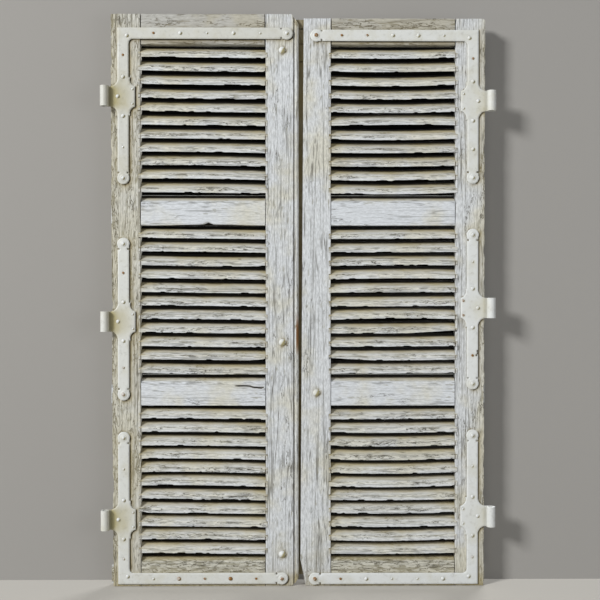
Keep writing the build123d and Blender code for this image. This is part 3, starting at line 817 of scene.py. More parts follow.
# %% Sizes and flaws of the rails
LOUVRE_SLOPE = math.radians(35)
RAIL_WEAR = {"upper_middle": 0.10, "lower_middle": 0.12, "bottom": 1.0}
TOP_RAIL_WEAR = {"left": 0.36, "right": 0.62}
RAIL_DIRT = {"top": 0.13, "upper_middle": 0.0, "lower_middle": 0.0, "bottom": 0.02}
TOP_RAIL_SHADE = 0.32
JOINT_W = {"top": 2.6 * MM, "upper_middle": 1.0 * MM, "lower_middle": 1.0 * MM, "bottom": 1.2 * MM}
JOINT_DEPTH = 3.0 * MM
CHIPPED_RAIL, SPLIT_RAIL = ("left", "upper_middle"), ("left", "lower_middle")
CHIP_X, CHIP_HALF, CHIP_SIZE = -0.258, 0.014, 7.0 * MM
CHIP_FLAT, CHIP_REACH = 0.150, 14.0 * MM
SPLIT_Z, SPLIT_REACH = 0.577, (-0.185, -0.094)
SPLIT_W, SPLIT_DEPTH, SPLIT_TAPER = 3.4 * MM, 3.0 * MM, 0.01
NOSE_FLAKE = 0.9 * MM


def shoulders(side):
    """The two places where a leaf's rails meet its stiles."""
    hinge_low, hinge_high = corners(side + "_hinge_stile")
    meeting_low, meeting_high = corners(side + "_meeting_stile")
    return (hinge_high[0], meeting_low[0]) if side == "left" else (meeting_high[0], hinge_low[0])


def chip_lift(x):
    """How far the broken foot of the left leaf's upper middle rail is lifted at a place along it: a notch
    with straight sides, in the middle of a long and shallow one."""
    away = np.abs(x - CHIP_X)
    return CHIP_SIZE * (fading(away, CHIP_HALF) + 0.45 * fading(away, CHIP_FLAT))


def split_mask(z, x):
    """The open split near the right end of the left leaf's lower middle rail. Its line wanders about its
    height by a noise. The mask is 1 on the line, falls off over the width, and tapers at both ends."""
    line = SPLIT_Z + 3.0 * SPLIT_W * (noise(x / 0.018, 0.5, 540) - 0.5)
    left, right = SPLIT_REACH
    ends = step(x, left, left + SPLIT_TAPER) * (1 - step(x, right - SPLIT_TAPER, right))
    return fading(np.abs(z - line), SPLIT_W) * ends


def nose_flakes(ring, along, nose, seed):
    """Flakes along an upper front arris: 1 where a noise is high, times exp(-(distance from the arris /
    6 mm)^2). Gives the flakes, and that share round the section."""
    away = np.hypot(ring["at"][:, 0] - nose[0], ring["at"][:, 1] - nose[1])
    near = np.exp(-((away / 0.0060) ** 2))
    spots = layered(ring["way"][None, :] / 0.0045, along[:, None] / 0.028, seed + 90, 3)
    return step(spots, 0.60, 0.67) * near[None, :], near


print("rails end at", {side: np.round(shoulders(side), 4).tolist() for side in inward})


# %% [markdown]
# ## One rail at a time
# Each rail is a skin first: the section with its slope, the relief of its weather, the joints at
# both ends, and the flaws of this one rail. Only then is it fitted to its solid and made dirty. The
# dark is laid on last, because the finished mesh has points where the solid's tenons begin.

# %% Rails
def rail_skin(side, name, low, high, slope, wear):
    """A rail's section carried from one tenon's end to the other's, with a rounded joint at each shoulder."""
    node, bottom, top = f"{side}_{name}_rail", low[2], high[2]
    seed = 500 + 40 * RAILS.index(name) + (7 if side == "left" else 0)
    outline = [(face_y, bottom), (back_y, bottom), (back_y, top), (face_y, top - slope)]
    marks = [z for z in (*arm_edges(side), SPLIT_Z) if bottom < z < top]
    front_shares = shares(top - slope, bottom, marks)
    ring = section(outline, [PLAIN_STEP, PLAIN_STEP, PLAIN_STEP, front_shares], [1.2 * MM] * 4)
    ends = shoulders(side)
    bands = around(ends, 4 * MM)
    if (side, name) == CHIPPED_RAIL:
        bands += around([CHIP_X], 2 * CHIP_HALF)
    along = grid_lines(low[0] - MM, high[0] + MM, bands, 0.9 * MM, ALONG_STEP)
    depth, crack, bare = weathering(ring["way"][None, :], along[:, None], seed, worn=wear)
    lost, bites = arris_loss(ring, along, seed, 2.6 * MM, 0.60)
    from_joint = np.minimum(np.abs(along - ends[0]), np.abs(along - ends[1]))
    joint = 1 - step(from_joint, 0.6 * JOINT_W[name], JOINT_W[name] + 0.8 * MM)
    front = (ring["normal"][:, 0] < -0.9)[None, :]
    depth = depth + JOINT_DEPTH * joint[:, None] * front
    if name != "top":
        flake, _ = nose_flakes(ring, along, (face_y, top - slope), seed)
        depth, crack = depth + NOSE_FLAKE * flake, np.maximum(crack, 0.8 * flake)
    if (side, name) == SPLIT_RAIL:
        split = split_mask(ring["at"][None, :, 1], along[:, None]) * front
        depth, crack = depth + SPLIT_DEPTH * split, np.maximum(crack, split)
    grid = sweep(ring, along, depth + lost, 0)
    if (side, name) == CHIPPED_RAIL:
        from_foot = np.hypot(ring["at"][:, 0] - face_y, ring["at"][:, 1] - bottom)
        grid[..., 2] += chip_lift(along)[:, None] * fading(from_foot, CHIP_REACH)[None, :]
    return board_skin(node, grid, crack, bare, bites)


def rail_dark(side, name, x, y, z, bottom):
    """The dark on a rail: in its joints, all over a top rail by TOP_RAIL_SHADE, painted shade under the
    broken foot, and in the split.
    """
    gap = np.min([np.abs(x - end) for end in shoulders(side)], axis=0)
    dark = 0.9 * (gap < 0.7 * JOINT_W[name]) * (y > face_y + 1.0 * MM) + TOP_RAIL_SHADE * (name == "top")
    # Under the broken foot the rail gets painted shade.
    if (side, name) == CHIPPED_RAIL:
        under = (y > face_y + 1.8 * MM) & (y < face_y + 20 * MM) & (z < bottom + 14 * MM)
        dark = np.maximum(dark, 0.96 * under * step(chip_lift(x), 0.4 * MM, 1.6 * MM))
    if (side, name) == SPLIT_RAIL:
        dark = np.maximum(dark, step(split_mask(z, x), 0.15, 0.75) * (y < face_y + 6 * MM))
    return dark


def rail(side, name):
    """A rail with its dirt and painted shade, which lie on the slope behind the front edge and grow towards
    the slats, as on a slat.
    """
    node = f"{side}_{name}_rail"
    low, high = corners(node)
    wear = TOP_RAIL_WEAR[side] if name == "top" else RAIL_WEAR[name]
    slope = 0.0 if name == "top" else (back_y - face_y) * math.tan(LOUVRE_SLOPE)
    piece = fitted(f"{side}_{name}_rail_board", rail_skin(side, name, low, high, slope, wear), node)
    x, y, z = points_of(piece.data).T
    on_slope = (z > high[2] - slope - 1 * MM) & (y < back_y - 3 * MM) & (name != "top")
    back_share = (y - face_y) / (back_y - face_y) * on_slope
    # On the slope the yellow grows backwards and the back turns dark: painted shade under the slats, as
    # between them.
    dirty_and_shaded(piece, side, worn=wear, more=RAIL_DIRT[name] + 0.8 * step(back_share, 0.04, 0.40),
          deep=np.maximum(rail_dark(side, name, x, y, z, low[2]), step(back_share, 0.36, 0.70)))
    keep(piece, side, node)


for side in inward:
    for name in RAILS:
        rail(side, name)


# %% [markdown]
# ## Slats
# A slat is a thin board that leans back, with an upright nose in front. The nose's lower arris is
# only 55 degrees sharp, so it breaks away in short bites along the grain, and flakes lift along its
# upper arris, where the sun stands on it. No slat is straight any more: each rises or sags a little
# between its two trenches. In the left leaf all of them fall a trace to the right, and in the right
# leaf half as much to the left. One slat could be copied with an array modifier, but the eye finds
# such copies at once. So the section is shared, and each slat gets its own loss.

# %% Section of a slat
SLAT_T = 11.0 * MM
NOSE_H = SLAT_T / math.cos(LOUVRE_SLOPE)
SLAT_STEP = 4.4 * MM
TOE_REACH = 12.5 * MM
SPLINTER_LEAN = 0.35


def slat_ring(low, high, bottom):
    """A slat's section from its lower front arris: underside, tail, upper side and nose."""
    rise = (high[1] - low[1]) * math.tan(LOUVRE_SLOPE)
    outline = [(low[1], bottom), (high[1], bottom + rise), (high[1], bottom + rise + NOSE_H),
               (low[1], bottom + NOSE_H)]
    return section(outline, [5.2 * MM, 6.7 * MM, 2.9 * MM, 1.9 * MM], [0.6 * MM, 1 * MM, 1 * MM, 2.2 * MM])


def nose_loss(along, share, seed, broken):
    """What a nose's lower arris has lost along a slat: a fine noise, single breaks, and the long splinter of
    a broken slat, which grows from one share of the way to another."""
    chips = layered(along / 0.008, 3.7, seed + 5, 2)
    breaks = layered(along / 0.026, 8.1, seed + 6, 3)
    size, start, end = broken
    splinter = size * np.clip((share - start) / (end - start), 0.0, 1.0)
    return MM * (0.1 + 0.8 * chips + 2.2 * step(breaks, 0.64, 0.70)) + splinter


print("a nose is", round(NOSE_H / MM, 1), "mm high")


# %% [markdown]
# ## Painted shade and dirt between the slats
# Little light comes down between two slats. The upper side of each is pale at the nose, brown a third of the
# way in, and nearly black further back: painted shade, with some real dirt in the yellow and the brown. The
# lights could do that alone, but then it would fade whenever the shutter is lit from elsewhere. The share at
# which the dark starts differs between the banks. Painted shade lies round the ends too, where a slat enters
# its trench, and the left end, shaded by its stile, is yellower.

# %% Dirt and painted shade of a slat
SLAT_SHADE = {"top": 0.55, "middle": 0.46, "bottom": 0.43}
NOTCH_W = 1.6 * MM
TRENCH = 6.0 * MM
CORNER_REACH = 14 * MM


def slat_dirt_and_shade(ring, along, low, high, seed, shade_from):
    """The film and the dark of one slat, which are painted shade with some dirt. On the upper side the yellow
    film grows to 0.92 from a tenth to a half of the way back, and the painted shade from shade_from to 0.31
    more. The corners by the stiles are exp(-distance / CORNER_REACH), more at the left end, and the dark
    notches by the trenches, painted shade too, are exp(-(distance / NOTCH_W)^2) where a noise is high."""
    back_share = (ring["at"][:, 0] - low[1]) / (high[1] - low[1])
    upper = ((ring["normal"][:, 1] > 0.3) & (ring["normal"][:, 0] < 0.9)).astype(float)
    under = (ring["normal"][:, 1] < -0.3).astype(float)
    from_left, from_right = along - low[0] - TRENCH, high[0] - TRENCH - along
    from_stile = np.minimum(np.abs(from_left), np.abs(from_right))
    notch = np.exp(-((from_stile / NOTCH_W) ** 2)) * step(noise(along / 0.02, seed * 0.37, seed), 0.25, 0.5)
    shade = upper * step(back_share, shade_from, shade_from + 0.31)
    deep = np.maximum(shade[None, :], 0.85 * notch[:, None] * (1 - 0.6 * upper[None, :]))
    film = upper * (0.12 + 0.80 * step(back_share, 0.10, 0.52)) + 0.5 * under
    corner = 0.75 * np.exp(-from_left / CORNER_REACH) + 0.35 * np.exp(-from_right / CORNER_REACH)
    dirt = film[None, :] + corner[:, None] * (0.35 + 0.65 * upper[None, :])
    return np.clip(dirt, 0, 1), deep


print("the dark starts at these shares of a slat's depth", SLAT_SHADE)


# %% [markdown]
# ## Eleven slats make a bank
# Each slat is its own closed tube, with its own random seed, and the eleven of a bank share one mesh. A few
# are told one by one to bow more than the rest or to have lost a splinter, because they do so in the
# photograph. The bow is a half sine, whose peak may lie off the middle.

# %% Slats
SLAT_FALL = {"left": 2.2 * MM, "right": -1.1 * MM}
SLAT_BOW = {("right", "top"): -3.4 * MM, ("right", "bottom"): -2.4 * MM, ("right", "middle"): 0.5 * MM}
USUAL_BOW, BOW_SPREAD = 0.2 * MM, 0.9 * MM
BENT = {("right", "middle", 4): (3.4 * MM, 0.50), ("left", "bottom", 5): (3.2 * MM, 0.45),
        ("left", "bottom", 6): (2.6 * MM, 0.40), ("right", "top", 5): (2.4 * MM, 0.60)}
UNBROKEN = (0.0, 0.0, 1.0)
BROKEN = {("right", "middle", 3): (7.0 * MM, 0.60, 1.0), ("right", "middle", 1): (7.5 * MM, 0.36, 0.0),
          ("left", "bottom", 4): (4.0 * MM, 0.16, 0.0), ("left", "middle", 1): (4.5 * MM, 0.85, 1.0)}


def slat_skin(low, high, bottom, along, seed, bend, broken, fall, shade_from):
    """The grid and the masks of one slat. The nose's foot is lifted by its loss. The bow is
    bow sin(pi share^e), with e chosen so that the peak lies at its own share, and the fall is linear."""
    bow, peak = bend
    ring = slat_ring(low, high, bottom)
    share = (along - low[0]) / (high[0] - low[0])
    flake, shoulder = nose_flakes(ring, along, (low[1], bottom + NOSE_H), seed)
    worn = 0.20 + 0.35 * shoulder[None, :]
    depth, crack, bare = weathering(ring["way"][None, :], along[:, None], seed, checks=0.9, worn=worn)
    lost, bites = arris_loss(ring, along, seed, 0.8 * MM)
    grid = sweep(ring, along, depth + lost + NOSE_FLAKE * flake, 0)
    from_foot = np.hypot(ring["at"][:, 0] - low[1], ring["at"][:, 1] - bottom)
    toe = fading(from_foot, TOE_REACH)
    loss = nose_loss(along, share, seed, broken)
    grid[..., 2] += loss[:, None] * toe[None, :]
    grid[..., 1] += SPLINTER_LEAN * loss[:, None] * toe[None, :]
    bent = share ** (math.log(0.5) / math.log(peak))
    grid[..., 2] += (bow * np.sin(math.pi * bent) - fall * (2 * share - 1))[:, None]
    dirt, deep = slat_dirt_and_shade(ring, along, low, high, seed, shade_from)
    masks = {"crack": np.maximum(crack, 0.8 * flake), "bare": np.maximum(0.7 * bare, step(bites, 0.3, 0.7)),
             "dirt": dirt, "deep": deep,
             "worn": np.broadcast_to(0.22 + 0.38 * shoulder[None, :], depth.shape)}
    return grid, masks


def slat_bank(side, name):
    """The slats of one bank, from the lowest up, with the spacing that the bank's box gives."""
    node = f"{side}_{name}_slats"
    low, high = corners(node)
    seed = 900 + 50 * BANKS.index(name) + (500 if side == "left" else 0)
    rng = np.random.default_rng(seed)
    rise = (high[1] - low[1]) * math.tan(LOUVRE_SLOPE)
    pitch = (high[2] - low[2] - rise - NOSE_H) / (SLATS_IN_BANK - 1)
    along = grid_lines(low[0], high[0], around((low[0], high[0]), 10 * MM), 1.6 * MM, SLAT_STEP)
    grids, masks = [], []
    for k in range(SLATS_IN_BANK):
        usual = rng.normal(SLAT_BOW.get((side, name), USUAL_BOW), BOW_SPREAD)
        bend = BENT.get((side, name, k), (usual, 0.5))
        broken = BROKEN.get((side, name, k), UNBROKEN)
        grid, own = slat_skin(low, high, low[2] + k * pitch, along, seed + 3 * k, bend, broken,
                              SLAT_FALL[side], SLAT_SHADE[name])
        grids.append(grid)
        masks.append(own)
    mesh = tubes_mesh(f"{side}_{name}_slat_boards", grids, masks)
    soften(mesh)
    keep(linked(mesh.name, mesh), side, node)
    return pitch


for side in inward:
    for name in BANKS:
        pitch = slat_bank(side, name)
print("slat pitch", round(pitch / MM, 2), "mm")


# %% [markdown]
# ## Straps
# The straps were forged from flat iron: the hammer leaves soft dents, and twenty coats of paint
# round every edge. The front skin is a height over the leaf's face. It falls off towards the
# outline in a quarter ellipse, and stands up in a boss at each round end. A blow has taken the paint
# off the right leaf's middle strap in three shallow pits that run together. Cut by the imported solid,
# the skin keeps the true outline, the rolled eye and the holes. A bevel would round the edges as
# well, but it knows nothing of dents.

# %% Strap skins
STRAP_T = 5.0 * MM
EDGE_W = 4.5 * MM
EDGE_DROP = 2.4 * MM
BOSS_R = 10.0 * MM
BOSS_H = 1.6 * MM
EYE_CLEAR = 26.0 * MM
EYE_BAND, STRIP_BAND = 58 * MM, 40 * MM
STRAP_FINE, STRAP_COARSE = 1.4 * MM, 5 * MM
PITS = ((0.5175, 0.6800), (0.5180, 0.6735), (0.5145, 0.6680))
PIT_R = 3.2 * MM
PIT_DEPTH = 1.5 * MM


def slab_mesh(name, x_lines, z_lines, front, back):
    """A closed slab over a grid in X and Z: its front follows a height, its back is flat."""
    columns, rows = len(x_lines), len(z_lines)
    x = np.broadcast_to(x_lines[None, :], (rows, columns))
    z = np.broadcast_to(z_lines[:, None], (rows, columns))
    top = np.stack([x, front, z], -1).reshape(-1, 3)
    base = np.stack([x, np.full_like(front, back), z], -1).reshape(-1, 3)
    i, j = np.meshgrid(np.arange(rows - 1), np.arange(columns - 1), indexing="ij")
    a = (i * columns + j).ravel()
    quads = np.stack([a, a + 1, a + columns + 1, a + columns], 1)
    shift = rows * columns
    rim = np.concatenate([np.arange(columns), np.arange(1, rows) * columns + columns - 1,
                          (rows - 1) * columns + np.arange(columns - 2, -1, -1),
                          np.arange(rows - 2, 0, -1) * columns])
    rim_next = np.roll(rim, -1)
    side_walls = np.stack([rim_next, rim, rim + shift, rim_next + shift], 1)
    mesh = bpy.data.meshes.new(name)
    mesh.from_pydata(np.concatenate([top, base]), [],
                     np.concatenate([quads, quads[:, ::-1] + shift, side_walls]).tolist())
    return mesh


def end_centres(side, level, low, high):
    """The middles of a strap's two round ends."""
    far_x = (high[0] - DISC_R) if side == "left" else (low[0] + DISC_R)
    upper = (strip_x[side], high[2] - DISC_R)
    lower = (strip_x[side], low[2] + DISC_R)
    if level == "top":
        upper = (far_x, high[2] - DISC_R)
    if level == "bottom":
        lower = (far_x, low[2] + DISC_R)
    return upper, lower


def pitted(side, level, x, z):
    """Where a blow took the paint off the right leaf's middle strap: exp(-(distance / radius)^4) about
    each of three pits that run together."""
    if (side, level) != ("right", "middle"):
        return np.zeros(x.shape)
    return np.max([np.exp(-((np.hypot(x - pit_x, z - pit_z) / PIT_R) ** 4)) for pit_x, pit_z in PITS], axis=0)


def strap_lines(side, level, low, high):
    """The lines of a strap's grid, close together about the eye, the round ends and the pits."""
    end_x, end_z = zip(*end_centres(side, level, low, high))
    x_bands = around([strip_x[side]], STRIP_BAND) + around(end_x, DISC_R + MM)
    z_bands = around([eye_heights[side, level]], EYE_BAND) + around(end_z, DISC_R + MM)
    z_bands += around([pit_z for _, pit_z in PITS], 2 * PIT_R)
    x_lines = grid_lines(low[0] - MM, high[0] + MM, x_bands, STRAP_FINE, STRAP_COARSE)
    z_lines = grid_lines(low[2] - MM, high[2] + MM, z_bands, STRAP_FINE, STRAP_COARSE)
    return x_lines, z_lines


def strap_front(side, level, low, high, x, z):
    """The height of a strap's front at each point. It is rounded off by EDGE_DROP over the last EDGE_W
    before the outline. Over the eye the front stands clear."""
    seed = 2000 + 31 * LEVELS.index(level) + (500 if side == "left" else 0)
    _, far = nearest(outlines[side, level], x, z, DIRT_REACH)
    front = face_y - STRAP_T + EDGE_DROP * rounded_off(far, EDGE_W)
    dents = 0.75 * layered(x / 0.020, z / 0.020, seed, 2) + 0.15 * noise(x / 0.005, z / 0.005, seed + 7)
    front += MM * (0.06 + dents)
    for end_x, end_z in end_centres(side, level, low, high):
        away = np.hypot(x - end_x, z - end_z)
        front -= BOSS_H * (1 - step(away, BOSS_R - 2.5 * MM, BOSS_R + 0.5 * MM))
    front += PIT_DEPTH * pitted(side, level, x, z)
    inner = inward[side] * (x - hinge_edge[side])
    return np.where(inner < 0.5 * MM, face_y - EYE_CLEAR, front)


eye_heights = {}
for mount in frame["record"]["mounts"]:
    side, level = mount["name"].split("_")[:2]
    eye_heights[side, level] = mount["pos_m"][2]
print("eye heights", eye_heights)


# %% [markdown]
# ## Dirt, painted shade and rust of the straps
# Dirt gathers where the plate rolls over into the eye, on the plate beside that, round the heads of the
# fasteners, and low on the edges that the weather spares. It is heavier on the left leaf. Painted shade
# darkens the fold at the root of each eye, the lower right of the heads, and the low edges away from the
# light. Rust has come through in two places: at the root of the left leaf's middle eye, and where the arm of
# its bottom strap ends close to the ground.

# %% Straps
ROOT_DIRT = {"left": 1.0, "right": 0.35}
PLATE_DIRT = {"left": 0.28, "right": 0.06}
GRIME = {"left": 0.12, "right": 0.0}
FOLD_SHADE = {"left": 0.34, "right": 0.2}
TOP_GRIME, TOP_LEFT_DULL = 0.08, 0.065
EYE_HALF = 34 * MM
RUST_RUN_Z, RUST_RUN_REACH = 0.779, 4 * MM
RUSTY_END, RUSTY_END_REACH = (0.0, 0.022), 22 * MM


def eye_dirt(side, level, inner, rise):
    """Dirt by the distance inwards from an eye's root and the rise above its middle: at the root itself
    exp(-inner / 19 mm), on the plate exp(-(distance / 40 mm)^4), and a trace of grime all over."""
    root = np.exp(-np.abs(inner) / np.where(inner > 0, 0.019, 0.006)) * np.exp(-((rise / EYE_HALF) ** 4))
    plate = np.exp(-((np.hypot(inner - 0.022, 0.8 * rise) / 0.040) ** 4))
    spread = ROOT_DIRT[side] * root + PLATE_DIRT[side] * plate
    return spread + GRIME[side] + TOP_GRIME * (level == "top")


def strap_rust(side, level, x, z, inner):
    """Rust on two straps of the left leaf: exp(-distance / reach) about one place each."""
    if (side, level) == ("left", "middle"):
        return 0.7 * np.exp(-np.hypot(inner + 0.004, 0.5 * (z - RUST_RUN_Z)) / RUST_RUN_REACH)
    if (side, level) == ("left", "bottom"):
        return np.exp(-np.hypot(x - RUSTY_END[0], z - RUSTY_END[1]) / RUSTY_END_REACH)
    return np.zeros(x.shape)


def strap(side, level):
    """One strap's front as a height field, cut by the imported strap, with its masks."""
    node = f"{side}_{level}_hinge_strap"
    low, high = corners(node)
    x_lines, z_lines = strap_lines(side, level, low, high)
    front = strap_front(side, level, low, high, *np.meshgrid(x_lines, z_lines))
    skin = slab_mesh(node + "_skin", x_lines, z_lines, front, face_y + MM)
    piece = fitted(f"{side}_{level}_strap", skin, node)
    x, y, z = points_of(piece.data).T
    way, far = nearest(outlines[side, level], x, z, DIRT_REACH)
    low_down = step(y, face_y - 3.6 * MM, face_y - 1.4 * MM)
    # Low on the edges away from the light the strap gets painted shade, and dirt as well.
    shaded_low_edge = low_down * lee_and_shadow_side(-way[:, 0], -way[:, 1]) * (far < DIRT_REACH)
    inner = inward[side] * (x - hinge_edge[side]) - 3 * MM
    rise = z - eye_heights[side, level]
    # Round the heads the strap gets dirt, and close to them painted shadow of the heads.
    beside = np.zeros(x.shape)
    for kind, most in (("strap_screws", 0.8), ("strap_nails", 0.9)):
        beside = np.maximum(beside, most * round_heads(heads(f"{side}_{kind}"), HEAD_R[kind], x, z))
    dirt = np.maximum(eye_dirt(side, level, inner, rise), beside) + 0.9 * shaded_low_edge
    put(piece.data, "dirt", np.clip(dirt, 0.0, 1.0))
    # The fold where the plate rolls into the eye gets painted shade.
    fold = np.exp(-(((inner + 2 * MM) / (2.4 * MM)) ** 2)) * (np.abs(rise) < EYE_HALF)
    shade = 0.8 * np.maximum(shaded_low_edge, FOLD_SHADE[side] * fold)
    shade = np.maximum(shade, 0.55 * step(beside, 0.45, 0.85))
    dull = TOP_LEFT_DULL * ((side, level) == ("left", "top"))
    put(piece.data, "shade", np.clip(shade + dull + pitted(side, level, x, z), 0.0, 1.0))
    put(piece.data, "rust", np.clip(strap_rust(side, level, x, z, inner), 0.0, 1.0))
    keep(piece, side, node)


for side in inward:
    for level in LEVELS:
        strap(side, level)


# %% [markdown]
# ## Screws, nails and bolts
# The heads keep the imported shapes: they could be made finer, but at their size nobody would see it.
# A copy of each set carries two masks. The lower right of every head, away from the light, gets the dirt
# mask, which is partly dirt and partly painted shade, and the dome bolts' a little less. Rust is chosen head
# by head: nineteen stand on a list, those near the ground and beside the middle gap rust by their place, and
# now and then a nail does by chance.

# %% Fastener heads
RUSTY_HEADS = np.array([
    (-0.424, 1.598, 0.90), (-0.506, 1.536, 0.75), (-0.506, 1.283, 0.55), (-0.512, 0.907, 0.75),
    (-0.506, 0.641, 0.55), (-0.500, 0.557, 0.50), (-0.506, 0.088, 0.50), (0.113, 1.592, 0.90),
    (0.193, 1.592, 0.65), (0.510, 1.513, 0.60), (0.507, 0.667, 1.00), (0.485, 0.823, 0.60),
    (0.487, 0.778, 0.60), (0.492, 0.220, 0.75), (0.492, 0.180, 0.75), (0.125, 0.015, 0.80),
    (0.284, 0.014, 0.75), (0.362, 0.014, 0.60), (0.522, 0.083, 0.60)])
FOUND_WITHIN = 13 * MM
NEAR_GROUND_Z, NEAR_GROUND_X = 0.06, (-0.40, 0.0)
NEAR_GAP_X = (0.0, 0.08)
FIRST_CLEAN = {"strap_screws": 0.25, "strap_nails": 0.25, "dome_bolts": 0.45}
RUST_SHARE = {"strap_screws": 1.0, "strap_nails": 1.0, "dome_bolts": 0.3}


def fasteners(side, kind):
    """A merged copy of one set of fasteners with its masks of dirt and rust. A head is as rusty as the
    strongest of four causes: chance, the ground, the middle gap, or the list."""
    node = f"{side}_{kind}"
    mesh = merged_copy(node)
    soften(mesh)
    x, _, z = points_of(mesh).T
    rng = np.random.default_rng(3000 + len(kind) + (9 if side == "left" else 0))
    dirt, rust = np.zeros(len(x)), np.zeros(len(x))
    for middle_x, middle_z in heads(node):
        dx, dz = x - middle_x, z - middle_z
        own = np.hypot(dx, dz) < HEADS_APART
        low_down = (middle_z < NEAR_GROUND_Z) * (NEAR_GROUND_X[0] < middle_x < NEAR_GROUND_X[1])
        near_ground = (0.55 + 0.35 * rng.random()) * low_down
        near_gap = 0.7 * (NEAR_GAP_X[0] < middle_x < NEAR_GAP_X[1])
        apart = np.hypot(RUSTY_HEADS[:, 0] - middle_x, RUSTY_HEADS[:, 1] - middle_z)
        listed = np.max(RUSTY_HEADS[:, 2] * (apart < FOUND_WITHIN))
        by_chance = 0.6 * rng.random() ** 8 * (kind == "strap_nails")
        clean = FIRST_CLEAN[kind]
        # The lower right of each head is yellowed: dirt and painted shade.
        dirt[own] = step(lee_and_shadow_side(dx, dz) * np.hypot(dx, dz) / HEAD_R[kind], clean, clean + 0.5)[own]
        rust[own] = RUST_SHARE[kind] * max(by_chance, near_ground, near_gap, listed)
    put(mesh, "dirt", dirt)
    put(mesh, "rust", rust)
    keep(linked(f"{side}_{kind}_heads", mesh), side, node)


for side in inward:
    for kind in HEAD_R:
        fasteners(side, kind)


# %% [markdown]
# ## Colours of old paint and painted shade
# The colours are few: a cold white that was the last coat, the warmer white of older coats, the yellow-brown
# of dirt, which between the slats also stands for painted shade, the grey-brown of bare softwood, and the
# fresh red-brown where the bead was rubbed open. Dark comes in three steps: the cracks' grey-black, a brown
# of caked dirt and painted shade, and a near black for open joints and for painted shade behind the slats and
# in recesses. The iron has its own paint, yellow, rubbed grey, dark and rust; its dark is painted shade and
# the pits. They are plain numbers rather than pictures of old paint, so that every effect can be turned up
# and down by itself.

# %% Colours
COLD_PAINT = (0.66, 0.695, 0.745, 1.0)
WARM_PAINT = (0.645, 0.64, 0.575, 1.0)
DIRT_AND_SHADE = (0.355, 0.295, 0.145, 1.0)
BARE_WOOD = (0.27, 0.26, 0.20, 1.0)
FRESH_WOOD = (0.18, 0.075, 0.028, 1.0)
CRACK_DARK = (0.055, 0.049, 0.034, 1.0)
SHADE_AND_SOOT_BROWN = (0.105, 0.070, 0.018, 1.0)
DEEP_DARK = (0.0025, 0.0025, 0.0020, 1.0)
IRON_PAINT = (0.69, 0.71, 0.705, 1.0)
IRON_YELLOW = (0.42, 0.375, 0.20, 1.0)
RUBBED_IRON = (0.20, 0.185, 0.13, 1.0)
STRAP_DARK = (0.050, 0.040, 0.018, 1.0)
RUST = (0.24, 0.110, 0.020, 1.0)
print("cold paint", COLD_PAINT[:3], "warm paint", WARM_PAINT[:3])


# %% [markdown]
# ## Writing shader nodes as formulas
# A material is a web of nodes. Placed one by one they take many lines, and the formula that they
# stand for gets lost. Small helpers let each step be read as one line: a new material, a node with
# its inputs, a mix of two colours, a sum, a ramp and a noise.

# %% Small helpers for shader nodes
def new_material(name):
    """A new material, with its tree of nodes and its shader."""
    material = bpy.data.materials.new(name)
    material.use_nodes = True
    return material, material.node_tree, material.node_tree.nodes["Principled BSDF"]


def add(tree, kind, inputs=(), **settings):
    """One shader node with its settings, and its inputs as pairs of a socket and a value or another
    node's output."""
    made = tree.nodes.new(kind)
    for name, value in settings.items():
        setattr(made, name, value)
    for socket, value in inputs:
        if isinstance(value, bpy.types.NodeSocket):
            tree.links.new(value, made.inputs[socket])
        else:
            made.inputs[socket].default_value = value
    return made


def mix_colour(tree, share, first, second):
    """A colour between two, by a share."""
    made = add(tree, "ShaderNodeMix", [(0, share), (6, first), (7, second)], data_type="RGBA")
    return made.outputs[2]


def maths(tree, operation, a, b=0.0, clamp=False):
    """One sum: an operation on two values, or on the first alone."""
    made = add(tree, "ShaderNodeMath", [(0, a), (1, b)], operation=operation, use_clamp=clamp)
    return made.outputs[0]


def ramp(tree, value, low, high, to_low=0.0, to_high=1.0):
    """Maps a range of values smoothly to another range."""
    made = add(tree, "ShaderNodeMapRange", [(0, value), (1, low), (2, high), (3, to_low), (4, to_high)],
               interpolation_type="SMOOTHSTEP")
    return made.outputs[0]


def grain_noise(tree, point, stretch, scale, detail=3.0, roughness=0.55):
    """Noise on a point that is first scaled along each axis."""
    mapped = add(tree, "ShaderNodeMapping", [("Vector", point), ("Scale", stretch)])
    values = [("Vector", mapped.outputs[0]), ("Scale", scale), ("Detail", detail), ("Roughness", roughness)]
    return add(tree, "ShaderNodeTexNoise", values).outputs[0]


trial = bpy.data.node_groups.new("trial", "ShaderNodeTree")
ramp(trial, maths(trial, "MULTIPLY", 0.5, 0.5), 0.0, 1.0)
print("a sum and a ramp make", len(trial.nodes), "nodes and", len(trial.links), "link")
bpy.data.node_groups.remove(trial)


# %% [markdown]
# ## One group for all painted wood
# Stiles, rails and slats differ only in the way that their grain runs. So the paint is a group whose
# input is a point that the material has already stretched along its grain. It could be one long
# material copied twice, but then each change would have to be made three times. The group gives a
# colour, a roughness and a height for the bump, and the materials keep the shader.

# %% Weathered paint on wood
MASKS = {"Crack": "crack", "Bare": "bare", "Dirt": "dirt", "Deep": "deep", "Worn": "worn", "Fresh": "fresh"}
EVEN = (1, 1, 1)


def line_where_half(tree, value, width):
    """1 where a noise passes through its middle value, and 0 beyond the width."""
    off = maths(tree, "ABSOLUTE", maths(tree, "SUBTRACT", value, 0.5))
    return ramp(tree, off, 0.0, width, 1.0, 0.0)


